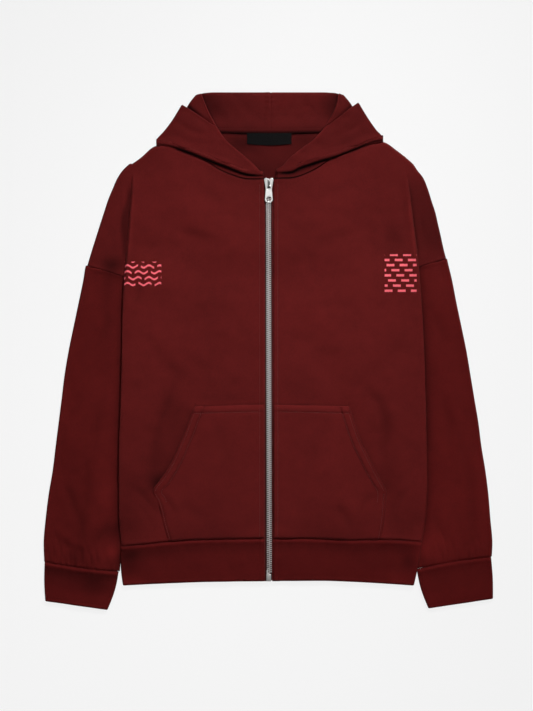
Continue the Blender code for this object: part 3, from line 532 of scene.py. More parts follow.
class Cloth:
    """The middle surface of a piece, put together from grids whose shared points are merged."""

    def __init__(self):
        self.points = []
        self.painted_shade = []
        self.faces = []
        self.count = 0

    def grid(self, rows, closed=False, painted_shade=0.0, shading_rows=GARMENT_PAINTED_SHADING):
        """Add a grid, with the painted shade of each point: the light it is drawn to lose in a fold,
        from 0 to 1.
        """
        rows = np.asarray(rows, float)
        lines, length = rows.shape[:2]
        index = self.count + np.arange(lines * length).reshape(lines, length)
        if closed:
            index = np.concatenate([index, index[:, :1]], axis=1)
        corners = (index[:-1, :-1], index[:-1, 1:], index[1:, 1:], index[1:, :-1])
        self.faces.append(np.stack(corners, -1).reshape(-1, 4))
        self.points.append(rows.reshape(-1, 3))
        # The point's painted shade, plus the painted shade and painted light of the soft places in the
        # table
        shade = painted_shade + painted_shading(rows[..., 0], rows[..., 1], shading_rows)
        self.painted_shade.append(shade.reshape(-1))
        self.count += lines * length

    def surface(self, name, wall, faces_up):
        """The mesh, lifted off the floor by half a wall, with its faces outwards."""
        data = bpy.data.meshes.new(name)
        places = np.concatenate(self.points)
        places[:, 2] = np.maximum(places[:, 2], wall / 2 + 0.05)
        data.from_pydata((places * MM).tolist(), [], np.concatenate(self.faces).tolist())
        # Store the painted shade on the points, so the finish can darken the colour by it
        attribute = data.attributes.new(SHADE_ATTRIBUTE, "FLOAT", "POINT")
        attribute.data.foreach_set("value", np.clip(np.concatenate(self.painted_shade), *SHADE_RANGE))
        mesh = bmesh.new()
        mesh.from_mesh(data)
        bmesh.ops.remove_doubles(mesh, verts=mesh.verts, dist=0.03 * MM)
        bmesh.ops.dissolve_degenerate(mesh, dist=0.01 * MM, edges=mesh.edges)
        bmesh.ops.recalc_face_normals(mesh, faces=mesh.faces)
        middle = (places[:, 2].min() + places[:, 2].max()) / 2 * MM
        high = [face for face in mesh.faces if face.calc_center_median().z > middle]
        upward = sum(face.normal.z * face.calc_area() for face in high)
        if (upward > 0) != faces_up:
            bmesh.ops.reverse_faces(mesh, faces=mesh.faces)
        mesh.to_mesh(data)
        mesh.free()
        data.shade_smooth()
        return data

    def sew(self, name, node, finish, inside=None, wall=SKIN, faces_up=True,
            slot="sweatshirt_cloth", held="laid", **cut):
        """The finished piece, with a wall and maybe another finish inside. Its flat cut is not used.

        faces_up says whether the outside of the cloth is up, in the upper half of the piece.
        """
        obj = placed(name, self.surface(name, wall, faces_up))
        obj.data.materials.append(finish)
        solidify = obj.modifiers.new("wall", "SOLIDIFY")
        solidify.thickness = wall * MM
        solidify.offset = 0
        if inside:
            obj.data.materials.append(inside)
            solidify.material_offset = 1
        dress(obj, node, slot=slot)


def dress(obj, *nodes, slot, body="garment"):
    """Attach a piece to the body it rides on, and hide the solids it stands for. Its material slot is
    not used.
    """
    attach(obj, body)
    if nodes:
        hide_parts(*nodes)


# ---- Finishes ----


def written(operation, turned=False):
    """A method that writes one operation of a wire and another part as a Math node."""

    def method(self, other):
        parts = (other, self) if turned else (self, other)
        return self.finish.node("ShaderNodeMath", {"operation": operation}, dict(enumerate(parts)))

    return method


class Wire:
    """A shader socket on which sums can be written."""

    def __init__(self, finish, socket):
        self.finish = finish
        self.socket = socket

    __add__, __radd__ = written("ADD"), written("ADD", turned=True)
    __sub__, __rsub__ = written("SUBTRACT"), written("SUBTRACT", turned=True)
    __mul__, __rmul__ = written("MULTIPLY"), written("MULTIPLY", turned=True)
    __pow__ = written("POWER")
    __lt__, __gt__ = written("LESS_THAN"), written("GREATER_THAN")
    repeat = written("FLOORED_MODULO")  # the place within a repeat, from 0 to its length
    larger = written("MAXIMUM")

    def near(self, distance):
        """1 within a distance of 0, and 0 past it."""
        return self.finish.node("ShaderNodeMath", {"operation": "ABSOLUTE"}, {0: self}) < distance

    def wave(self, length=1.0):
        """A sine wave of a length, from -1 to 1."""
        turned = self * (2 * math.pi / length)
        return self.finish.node("ShaderNodeMath", {"operation": "SINE"}, {0: turned})


class Finish:
    """A procedural material on a Principled shader."""

    def __init__(self, name, roughness, metallic=0.0, specular=0.5, sheen=0.0, sheen_tint=(1, 1, 1)):
        self.material = bpy.data.materials.new(name)
        self.material.use_nodes = True
        self.tree = self.material.node_tree
        self.shader = self.tree.nodes["Principled BSDF"]
        for socket, value in (
            ("Roughness", roughness), ("Metallic", metallic), ("Specular IOR Level", specular),
            ("Sheen Weight", sheen), ("Sheen Roughness", 0.5), ("Sheen Tint", (*sheen_tint, 1)),
        ):
            self.shader.inputs[socket].default_value = value
        self.place = self.node("ShaderNodeTexCoord", {}, {}, "Object")

    def node(self, kind, settings, inputs, output=0):
        """Any node: its settings first, then the values or links of its sockets."""
        node = self.tree.nodes.new(kind)
        for name, value in settings.items():
            setattr(node, name, value)
        for name, value in inputs.items():
            if isinstance(value, Wire):
                self.tree.links.new(value.socket, node.inputs[name])
            else:
                node.inputs[name].default_value = value
        return Wire(self, node.outputs[output])

    def scaled(self, vector, amount):
        """A colour or a vector times a number or a wire."""
        return self.node("ShaderNodeVectorMath", {"operation": "SCALE"}, {0: vector, "Scale": amount})

    def axes(self):
        """The place on the object in mm, as three wires."""
        split = self.node("ShaderNodeSeparateXYZ", {}, {0: self.scaled(self.place, 1 / MM)})
        return [Wire(self, output) for output in split.socket.node.outputs]

    def noise(self, size, detail=2.0, stretch=(1, 1, 1), roughness=0.5):
        """Noise from 0 to 1 whose spots are about size mm wide."""
        place = self.node("ShaderNodeVectorMath", {"operation": "MULTIPLY"}, {0: self.place, 1: stretch})
        inputs = {"Vector": place, "Scale": 1 / (size * MM), "Detail": detail, "Roughness": roughness}
        return self.node("ShaderNodeTexNoise", {}, inputs, "Fac")

    def blend(self, amount, a, b):
        return self.node("ShaderNodeMix", {"data_type": "RGBA"}, {0: amount, 6: a, 7: b}, 2)

    def bump(self, height, distance):
        """A bump of a height from 0 to 1 over a distance in mm."""
        inputs = {"Height": height, "Distance": distance * MM, "Strength": 1.0}
        return self.node("ShaderNodeBump", {}, inputs)

    def set(self, **wires):
        for name, wire in wires.items():
            self.tree.links.new(wire.socket, self.shader.inputs[name.replace("_", " ").title()])
        return self.material


CLOTH_RED = (0.0792, 0.0066, 0.0063)
# The sleeves' red is the body's drawn a little darker: painted shade
SLEEVE_RED = (0.0766, 0.0055, 0.0052)
BAND_RED = (0.0671, 0.0047, 0.0045)
TAPE_RED = (0.072, 0.0050, 0.0048)
THREAD_RED = (0.083, 0.0085, 0.008)
LABEL_BLACK = (0.0040, 0.0038, 0.0040)
CORAL = (0.80, 0.125, 0.155)
# The inside of the cloth is the same red drawn darker: painted shade of the hood's and the neck's
# insides
INSIDE_TONE = 0.80
CUFF_TONE = 1.22


def tinted(colour, amount):
    return tuple(amount * channel for channel in colour)


def knit(finish, wale=1.15, course=0.95):
    """The face of a jersey: columns of small V stitches. A height from 0 to 1."""
    x, y, _ = finish.axes()
    column = (x.wave(wale) * 0.5 + 0.5) ** 0.6
    slanted = y + (x.repeat(wale) - wale / 2) * 0.9
    row = slanted.wave(course) * 0.5 + 0.5
    return column * 0.65 + row * 0.35


def cloth_colour(finish, red):
    """Brushed cloth: soft blotches where the nap lies differently, specks of single fibres, and the
    painted shade of each point.
    """
    nap = finish.noise(70, 3) - 0.5
    patch = finish.noise(14, 3) - 0.5
    fibre = finish.noise(1.7, 3, (1, 0.6, 1), 0.7) - 0.5
    tone = 1 + nap * 0.20 + patch * 0.24 + fibre * 0.60
    # Painted shade: the colour is darkened by the shade stored on the points
    painted_shade = finish.node("ShaderNodeAttribute", {"attribute_name": SHADE_ATTRIBUTE}, {}, "Fac")
    return finish.scaled(red, tone * (1 - painted_shade))


def cloth_finish(name, red, sheen=0.025, prints=False):
    finish = Finish(name, 0.92, specular=0.05, sheen=sheen, sheen_tint=(1.0, 0.40, 0.38))
    colour = cloth_colour(finish, red)
    if prints:
        worn = finish.noise(1.1, 2) * 0.25 + 0.8
        colour = finish.blend(chest_motifs(finish), colour, finish.scaled(CORAL, worn))
    fuzz = finish.noise(2.4, 4, roughness=0.7)
    return finish.set(base_color=colour, normal=finish.bump(fuzz * 0.6 + knit(finish) * 0.4, 0.22))


# Motifs on the chest: a block of staggered dashes on one side, and short waves on the other
DASHES = {"low": (185.0, 92.5), "high": (236.0, 155.0), "line": 8.2, "repeat": 21.0, "dash": 12.5}
DASHES["stagger"] = 0.37 * DASHES["repeat"] / DASHES["line"]
WAVES = {"low": (-230.5, 102.5), "high": (-171.5, 143.0), "line": 9.4, "swing": 1.9, "length": 17.0}
WAVES |= {"stagger": 1.7, "repeat": 26.0, "stroke": 21.0}
INK_HALF = {"dashes": 1.9, "waves": 1.9 * 0.85}
INK_RAGGED = 1.1


def within(x, y, low, high):
    """1 inside a box of X and Y, and 0 outside it."""
    return (x > low[0]) * (x < high[0]) * (y > low[1]) * (y < high[1])


def chest_motifs(finish):
    x, y, _ = finish.axes()
    ragged = (finish.noise(1.6, 2) - 0.5) * INK_RAGGED
    low, high = DASHES["low"], DASHES["high"]
    line = y - low[1]
    row = line.repeat(DASHES["line"]) - DASHES["line"] / 2
    shifted = (line - line.repeat(DASHES["line"])) * DASHES["stagger"]
    place = (x - low[0] + shifted).repeat(DASHES["repeat"])
    dashes = (row + ragged).near(INK_HALF["dashes"]) * (place < DASHES["dash"]) * within(x, y, low, high)
    low, high = WAVES["low"], WAVES["high"]
    line = y - low[1] + x.wave(WAVES["length"]) * WAVES["swing"]
    row = line.repeat(WAVES["line"]) - WAVES["line"] / 2
    shifted = (line - line.repeat(WAVES["line"])) * WAVES["stagger"]
    stroke = (x + shifted).repeat(WAVES["repeat"]) < WAVES["stroke"]
    waves = (row + ragged).near(INK_HALF["waves"]) * stroke * within(x, y, low, high)
    return dashes.larger(waves)


def tape_finish():
    finish = Finish("zip_tape", 0.8, specular=0.15, sheen=0.05, sheen_tint=(1.0, 0.5, 0.5))
    x, y, _ = finish.axes()
    weave = (x * (2 * math.pi / 0.9) + y * (2 * math.pi / 1.1)).wave(2 * math.pi) * 0.5 + 0.5
    # Painted shade on the tape where it runs under and beside the teeth
    shade_under_teeth = (x + 0.6).near(5.2) * 0.6
    tone = (weave * 0.3 + 0.8 + finish.noise(9, 2) * 0.2) * (1 - shade_under_teeth)
    return finish.set(base_color=finish.scaled(TAPE_RED, tone), normal=finish.bump(weave, 0.15))


def metal_finish(name, colour, roughness):
    finish = Finish(name, roughness, metallic=1.0)
    wear = finish.noise(1.4, 3)
    rough = finish.noise(3.5, 2) * 0.16 + (roughness - 0.08)
    colour = finish.scaled(colour, wear * 0.30 + 0.85)
    return finish.set(base_color=colour, roughness=rough, normal=finish.bump(wear, 0.03))


def label_finish():
    finish = Finish("label_weave", 0.85, specular=0.05)
    x, y, _ = finish.axes()
    weave = x.wave(0.7) * y.wave(0.55) * 0.5 + 0.5
    colour = finish.scaled(LABEL_BLACK, weave * 0.5 + 0.75)
    return finish.set(base_color=colour, normal=finish.bump(weave, 0.12))


def thread_finish():
    finish = Finish("sewing_thread", 0.6, specular=0.3)
    return finish.set(base_color=finish.scaled(THREAD_RED, finish.noise(0.9, 2) * 0.5 + 0.75))


FLOOR_GLOW = 0.83
FLOOR_TONE = (0.09, 0.09, 0.09)


def floor_finish():
    """A pale floor that is lit from within, so that shadows on it stay faint."""
    finish = Finish("pale_floor", 0.95, specular=0.0)
    tone = finish.noise(900, 1) * 0.01 + 0.995
    finish.shader.inputs["Emission Strength"].default_value = FLOOR_GLOW
    glow = finish.scaled((1.0, 1.0, 1.0), tone)
    return finish.set(base_color=finish.scaled(FLOOR_TONE, tone), emission_color=glow)


CLOTH = cloth_finish("sweatshirt_cloth", CLOTH_RED)
CHEST_CLOTH = cloth_finish("printed_cloth", CLOTH_RED, prints=True)
SLEEVE_CLOTH = cloth_finish("sleeve_cloth", SLEEVE_RED)
BAND_CLOTH = cloth_finish("band_cloth", BAND_RED, sheen=0.02)
CUFF_CLOTH = cloth_finish("cuff_cloth", tinted(BAND_RED, CUFF_TONE), sheen=0.02)
INSIDE_CLOTH = cloth_finish("cloth_inside", tinted(CLOTH_RED, INSIDE_TONE))
TAPE = tape_finish()
METAL = metal_finish("zip_metal", (0.97, 0.94, 0.92), 0.36)
# The slider, pull and bottom box are the teeth's metal drawn darker, each toned to the light it catches:
# painted shade
SLIDER_METAL = metal_finish("slider_metal", (0.56, 0.55, 0.54), 0.34)
# The bail is nearly black: painted shade of the dark slot under the pull tab
BAIL_PAINTED_SHADE = metal_finish("bail_painted_shade_metal", (0.13, 0.127, 0.123), 0.34)
PULL_METAL = metal_finish("pull_metal", (0.64, 0.63, 0.62), 0.34)
BOX_METAL = metal_finish("box_metal", (0.42, 0.40, 0.39), 0.36)
LABEL = label_finish()
THREAD = thread_finish()


# ---- Body ----

SIDE_PRESS = 0.6
CORNER_NOTCH = -0.1  # from the split up to the rows above it
SLANT_SHADE = {"right": 0.24, "left": 0.16}  # light lost beside the pocket's opening
CAP_SHADE = {"right": (0.0, 0.50), "left": (0.30, 0.30)}  # all over the cap, and beside the fold
CAP_WIDTH = 60.0
CAP_RIM = 2.7
# The body's front stands up in a pleat beside its side fold; rim is a painted highlight along the pleat
PLEAT = {"rise": 1.7, "run": 15.0, "roll": {"right": 1.6, "left": 0.64}, "rim": 0.16}
SMOOTH_SHOULDER = (256.0, 288.0)  # the fold at the body's side fades out between these heights


def corner_y(side):
    return armhole_y(side, FOLD(side, SPLIT))


def split_y(side, x):
    return mix(SPLIT, corner_y(side), np.minimum(x / FOLD(side, SPLIT), 1.0))


def side_pleat(side, x, y):
    """The body's front stands up beside its side fold."""
    into = FOLD(side, y) - x
    there = rise(y, 60, 130) * (1 - rise(y, *SMOOTH_SHOULDER))
    roll = PLEAT["roll"][side] * hump(into - 3.6, 2.4)
    return there * (PLEAT["rise"] * (1 - rise(into, 2, PLEAT["run"])) + roll)


def cap_z(side, x, y):
    low = FLOOR + LAYER + PRESSED_AIR
    return mix(low, front_z(side, x, y), rise(y, *SMOOTH_SHOULDER))


def front_shade(side, x, y):
    """The light that a front loses, most of it beside the pocket and its seams."""
    lost = creases(SIDES[side] * x, y, FRONT_CREASES[side], troughs=True)
    # A painted highlight along the standing pleat beside the side fold
    beside = rise(y, 140, 165) * (1 - rise(y, 240, 262))
    lost = lost - PLEAT["rim"] * beside * hump(FOLD(side, y) - x - 4, 3.5)
    pocket_corner = POCKET_EDGE(side, POCKET_TOP)
    above_pocket = (y - pocket_top(side, x)) * rise(pocket_corner + 2 - x, 0, 4)
    lost = lost + 0.34 * hump(above_pocket - 1.0, 1.9) * (x < pocket_corner)
    off_slant = -slant(side, x, np.clip(y, -222, POCKET_TOP))
    level = rise(y, -230, -214) * (1 - rise(y, POCKET_TOP - 8, POCKET_TOP + 2))
    lost = lost + SLANT_SHADE[side] * level * (1 - rise(off_slant, -2, 13))
    return lost + 0.45 * hump(y - HEM_SEAM(side, x), 1.5)


def front_panel(side):
    """Rows of the front from the hem seam to the armhole's corner, and from there to the neck."""
    set_in = SKIN / 2
    columns = rule(BODY_HALF, 3.3, ZIP_RUN, FOLD_RUN)

    def place(rows, bottom, top):
        x = across(columns, zip_edge(side), FOLD(side, SPLIT) - set_in)
        for _ in range(2):
            y = down(rows, bottom(x), top(x))
            x = across(columns, zip_edge(side), FOLD(side, y) - set_in)
        return x, y

    def shaped(x, y, low):
        high = front_height(side, x, y) + side_pleat(side, x, y)
        z = mix(low, high, curl(FOLD(side, y) - set_in - x, EDGE_CURL))
        return z - 1.5 * (1 - curl(x - zip_edge(side), 1.9))

    x, y = place(rule(BODY_LOW, 3.5, SEAM_RUN, CORNER_RUN), lambda x: HEM_SEAM(side, x) + SEAM_GAP / 2,
                 lambda x: split_y(side, x) + SEAM_GAP)
    low = mix(FLOOR + LAYER, FLOOR + LIFT + LAYER - SIDE_PRESS, rise(y, *HEM_RELEASE))
    lower = x, y, shaped(x, y, low), front_shade(side, x, y)
    x, y = place(rule(170, 3.3, SEAM_RUN, EDGE_RUN), lambda x: split_y(side, x) + CORNER_NOTCH,
                 lambda x: FRONT_TOP(side, x) - SEAM_GAP / 2)
    z = shaped(x, y, cap_z(side, x, y))
    edge = FRONT_TOP(side, x) - y
    z = z - rise(x, 165, 178) * (z - 2.9) * (1 - curl(edge, 4.0))
    # Painted shade along the neck seam's groove at the top of the front
    neck = 0.84 * hump(edge - 0.2, 1.7) * (1 - rise(x, 120, 160))
    return lower, (x, y, z, front_shade(side, x, y) + neck)


def cap_rows(side, fold_x, fold_y, fold_z, is_back=False):
    """The shoulder outside the fold: lines from the fold out to the shoulder's edge."""
    bottom = SLEEVE_ENDS[side]["armhole"][0] + SEAM_GAP / 2
    part = (fold_y - fold_y[0]) / (fold_y[-1] - fold_y[0])
    y_out = mix(bottom, fold_y[-1], part)
    x_out = SHOULDER(side, y_out) - (4.0 if is_back else SKIN / 2)
    x_out = np.maximum(x_out, fold_x + 0.01)
    x_out[-1] = fold_x[-1]
    shares = rule(CAP_WIDTH, 12) if is_back else rule(CAP_WIDTH, 3.2, last=EDGE_RUN)
    t = shares[0] + shares[1] / CAP_WIDTH
    width = (x_out - fold_x)[:, None]
    x = fold_x[:, None] + width * t
    y = mix(fold_y[:, None], y_out[:, None], t)
    straight = mix(fold_y[0], y_out[0], t)
    near = (1 - part[:, None]) ** 8
    y = y + (armhole_y(side, x[:1]) + SEAM_GAP / 2 - straight) * near * rise(t, 0, 0.06)
    if is_back:
        return x, y, mix(fold_z[:, None], FLOOR, rise(t, 0, 0.3))
    relief = uneven(SIDES[side] * x, y, CAP_CREASES[side], (0.3, 40, 21))
    z = mix(CAP_RIM, cap_z(side, x, y) + relief * rise(width * t, 0, 12), curl(width * (1 - t), 4.5))
    z = z + seam(y - armhole_y(side, x), 0.9, 1.3)
    return x, y, mix(fold_z[:, None], z, rise(width * t, 0, 3.0))


def cap_shade(side, x, y):
    """The light that the shoulder's outer part loses, most of it close to the standing fold."""
    overall, fold = CAP_SHADE[side]
    out = x - FOLD(side, y)
    reach = 4.0 + 8.0 * hump(y - 205, 36) if side == "right" else 3.0
    there = rise(y, 138, 160) * (1 - rise(y, 246, 276))
    overall = overall * mix(0.4, 1.0, rise(y, 140, 185))
    lost = overall * (1 - rise(y, 240, 300)) + fold * there * (1 - rise(out, reach - 4, reach + 4))
    return lost + 0.62 * hump(y - armhole_y(side, x), 1.6)


def make_fronts():
    for side, sign in SIDES.items():
        cloth = Cloth()
        lower, upper = front_panel(side)
        x, y, z, shade = (np.concatenate(pair) for pair in zip(lower, upper))
        cloth.grid(points(sign * x, y, z), painted_shade=shade, shading_rows=FRONT_PAINTED_SHADING)
        x, y, z = cap_rows(side, *(values[:, -1] for values in upper[:3]))
        cloth.grid(points(sign * x, y, z), painted_shade=cap_shade(side, x, y))
        cloth.sew("front_" + side + "_cloth", "front_" + side, CHEST_CLOTH,
                  flat=(0.29, 0.645), rests_on=["back"], area=0.1655)


NECK_SHADE = {"seam": 0.78, "throat": 0.34}
BACK_SET_IN = 2.2  # from the side fold in to the back's edge


def back_half(side):
    """Rows of the back from the hem seam to the armhole's corner, and from there to the neck."""
    columns = rule(BODY_HALF, 8, (0, 4), (0, 0.3, 1, 2, 3.5, 6))
    first_x = across(columns, 0.0, FOLD(side, SPLIT) - BACK_SET_IN)

    def place(rows, bottom, top):
        y = down(rows, bottom(first_x), top(first_x))
        x = across(columns, 0.0, FOLD(side, y) - BACK_SET_IN)
        return x, down(rows, bottom(x), top(x))

    def shaped(x, y, low):
        z = back_z(side, x, y) + creases(SIDES[side] * x, y, BACK_CREASES)
        z = z - 0.9 * (1 - rise(BACK_TOP(side, x) - y, -1, 5)) * (1 - rise(x, 150, 170))
        return mix(low, z, curl(FOLD(side, y) - BACK_SET_IN - x, 3.0))

    x, y = place(rule(BODY_LOW, 9), lambda x: HEM_SEAM(side, x) + SEAM_GAP / 2,
                 lambda x: split_y(side, x) + SEAM_GAP)
    lower = x, y, shaped(x, y, mix(FLOOR, FLOOR + LIFT, rise(y, *HEM_RELEASE)))
    x, y = place(rule(220, 4.5, (0,), EDGE_RUN), lambda x: split_y(side, x) + CORNER_NOTCH,
                 lambda x: BACK_TOP(side, x) - SEAM_GAP / 2)
    return lower, (x, y, shaped(x, y, FLOOR))


def make_back():
    cloth = Cloth()
    for side, sign in SIDES.items():
        lower, upper = back_half(side)
        x, y, z = (np.concatenate(pair) for pair in zip(lower, upper))
        near_seam = BACK_TOP(side, x) - y
        shade = NECK_SHADE["seam"] * hump(near_seam - 0.5, 2.6)
        shade = shade + NECK_SHADE["throat"] * rise(near_seam, 6, 66)
        cloth.grid(points(sign * x, y, z), painted_shade=shade * (y > 260), shading_rows=THROAT_PAINTED_SHADING)
        x, y, z = cap_rows(side, *(values[:, -1] for values in upper), is_back=True)
        cloth.grid(points(sign * x, y, z))
    cloth.sew("back_cloth", "back", CLOTH, INSIDE_CLOTH, faces_up=False, flat=(0.58, 0.66), area=0.355)


# ---- Sleeves, cuffs and hem band ----

TUBE_STEP = 2.9


def tube(outer, inner, low, high, fine):
    """Rows round a flat tube. outer and inner are (rows, 2) places of its two folds.

    high gives the middle of its upper wall at a place, and fine how far in from the outer fold
    the upper wall is shown and so drawn closely.
    """
    width = np.hypot(*(inner - outer).T)[:, None]
    edge = SKIN / 2
    begin = edge + FOLD_TURN

    def place(distance):
        spot = mix(outer[:, None], inner[:, None], (distance / width)[..., None])
        return spot[..., 0], spot[..., 1]

    def top(distance):
        return high(*place(distance), distance, width)

    fine = np.clip(fine, 30, width - 30 - begin)
    run = tuple(begin + d for d in (0.0, 0.8, 1.9, 3.4, 5.4))
    shown = across(rule(float(fine.max()), TUBE_STEP, run), 0.0, fine)
    hidden = across(rule(100, 12), fine, width - begin)[:, 1:]
    upper = np.concatenate([shown, hidden], axis=1)[:, ::-1]
    under = points(*place(across(rule(150, 14), begin, width - begin)), low)
    reach, part = nose(5)
    inner_fold = points(*place(width - edge - reach), mix(low, top(width - begin), part))
    reach, part = nose(7)
    outer_fold = points(*place(edge + reach[::-1] + 0 * width),
                        mix(low, top(begin + 0 * width), part[::-1]))
    return np.concatenate([under, inner_fold, points(*place(upper), top(upper)), outer_fold], axis=1)


SLEEVE_LENGTH = 470.0  # about its length between the seams
FOLD_SHADE = 0.62  # light lost where a sleeve goes in under the body
FOLD_SHADE_RUN = 6.0
SLEEVE_END_SHADE = {"right": 0.8, "left": 0.3}  # the part of it that is left near the cuff
CUFF_SAG = {"right": 2.2, "left": -2.4}  # how far the seam at the cuff bows down


def sleeve_loft(side, x, y):
    out = x - FOLD(side, np.minimum(y, SPLIT))
    loose = rise(out, 3, 34) * rise(armhole_y(side, x) - y, -10, 60)
    dip = 1.4 * (1 - rise(out, 0, 9)) * rise(out, -12, -2)
    return LAYER - 0.1 + PRESSED_AIR * rise(out, 2, 20) + (SLEEVE_AIR - PRESSED_AIR) * loose - dip


def sleeve_shade(side, x, y, along):
    """The light that a sleeve loses beside the body, at its creases and at the armhole's seam."""
    out = np.maximum(x - FOLD(side, y), 0)
    lost = FOLD_SHADE * np.exp(-out / FOLD_SHADE_RUN) * (1 - rise(y, 60, 110) * 0.4)
    lost = lost * mix(SLEEVE_END_SHADE[side], 1.0, rise(y, -310, -270))
    lost = lost * mix(0.78, 1.0, rise(y, -200, -120)) + 0.46 * hump(SLEEVE_LENGTH * (1 - along), 2.4)
    return lost + creases(SIDES[side] * x, y, SLEEVE_CREASES[side], troughs=True)


def make_sleeves():
    for side, sign in SIDES.items():
        armhole, cuff = SLEEVE_ENDS[side]["armhole"], SLEEVE_ENDS[side]["cuff"]
        part, added = rule(SLEEVE_LENGTH, 3.4, SEAM_RUN, SEAM_RUN)
        y_outer, y_inner = (
            across((part, -added), top - SEAM_GAP / 2, end + SEAM_GAP / 2)
            for top, end in zip(armhole, cuff)
        )
        outer = np.stack([SLEEVE_OUTER(side, y_outer), y_outer], -1)
        inner = np.stack([SLEEVE_INNER(side, y_inner), y_inner], -1)
        pressed = (outer[:, 0] - FOLD(side, np.minimum(y_outer, SPLIT)))[:, None] + 10

        def high(x, y, distance, width):
            signed = sign * x
            above = y - mix(*cuff, distance / width)
            relief = uneven(signed, y, SLEEVE_CREASES[side], (0.8, 36, 31), (0.3, 13, 32))
            relief = relief + ripples(signed, 8.5, 1.0) * hump(above - 6, 17)
            relief = relief + 0.7 * ripples(signed + 0.3 * y, 14.0, 2.0) * hump(above - 14, 26)
            relief = relief * rise(distance, 2, 16) * rise(x - FOLD(side, y) + 6, 0, 8)
            z = FLOOR + sleeve_loft(side, x, y) + relief - 1.3 * hump(above, 1.6)
            return z + seam(armhole_y(side, x) - y, 1.4, 1.5)

        grid = tube(outer, inner, FLOOR, high, pressed)
        t = np.clip((outer[:, :1] - grid[..., 0]) / (outer[:, :1] - inner[:, :1]), 0, 1)
        along = np.linspace(0, 1, len(part))[:, None]
        bow = ARMHOLE_BULGE * np.clip(1 - along / 0.3, 0, 1) - CUFF_SAG[side] * rise(along, 0.7, 1)
        grid[..., 1] += bow * np.sin(math.pi * t)
        shade = sleeve_shade(side, grid[..., 0], grid[..., 1], along)
        cloth = Cloth()
        cloth.grid(grid * (sign, 1, 1), closed=True, painted_shade=shade)
        cloth.sew("sleeve_" + side + "_cloth", "sleeve_" + side, SLEEVE_CLOTH,
                  flat=(0.46, 0.495), area=0.1665)


CUFF_LENGTH = 62.0
CUFF_AIR = 1.6
CUFF_SHOWN = 80.0  # how far in from its outer fold it is drawn closely
CUFF_SHADE = {"right": 0.52, "left": 0.24}
CUFF_BOW = {"outer": 1.2, "inner": -2.6}


def make_cuffs():
    for side, sign in SIDES.items():
        part, added = rule(CUFF_LENGTH, 2.8, SEAM_RUN, EDGE_RUN)
        t = part + added / CUFF_LENGTH
        folds = {}
        for name, bow in CUFF_BOW.items():
            x0, y0, x1, y1 = CUFF[side][name]
            folds[name] = np.stack([mix(x0, x1, t) + bow * np.sin(math.pi * t), mix(y0, y1, t)], -1)
        outer, inner = folds["outer"], folds["inner"]
        seam_y, end_y = ([CUFF[side][name][i] for name in ("outer", "inner")] for i in (1, 3))

        def high(x, y, distance, width):
            u = distance / width
            from_seam = mix(*seam_y, u) - y
            from_end = y - mix(*end_y, u)
            relief = uneven(sign * x, y, (), (0.45, 26, 41))
            relief = relief + 0.5 * ripples(sign * x, 12, 3) * hump(from_seam, 12)
            z = BAND_WALL / 2 + BAND_LAYER + CUFF_AIR - 1.1 * hump(from_seam - 15, 10)
            z = z + relief * rise(distance, 2, 12) * rise(width - distance, 2, 12)
            z = z - 1.4 * hump(from_seam, 1.5) + 0.9 * hump(from_seam - 4.2, 2.2)
            return z - 1.6 * (1 - curl(from_end, 2.6)) - 0.5 * hump(from_end - 4.6, 1.2)

        grid = tube(outer, inner, BAND_WALL / 2, high, CUFF_SHOWN * np.ones((len(t), 1)))
        u = np.clip((outer[:, :1] - grid[..., 0]) / (outer - inner)[:, :1], 0, 1)
        from_seam = mix(*seam_y, u) - grid[..., 1]
        grid[..., 1] -= CUFF_SAG[side] * np.sin(math.pi * u) * (1 - rise(from_seam, 0, 55))
        shade = CUFF_SHADE[side] * (1 - rise(from_seam, 5, 52)) * rise(from_seam, 2, 9)
        cloth = Cloth()
        cloth.grid(grid * (sign, 1, 1), closed=True, painted_shade=shade + 0.40 * hump(from_seam, 1.6))
        cloth.sew("cuff_" + side + "_band", "cuff_" + side, CUFF_CLOTH, wall=BAND_SKIN,
                  slot="band_cloth", flat=(0.235, 0.064))


HEM_RISE = 0.2
HEM_HIGH = 66.0  # about the band's height
HEM_FIRST_X = 233.0  # a first guess at its side fold


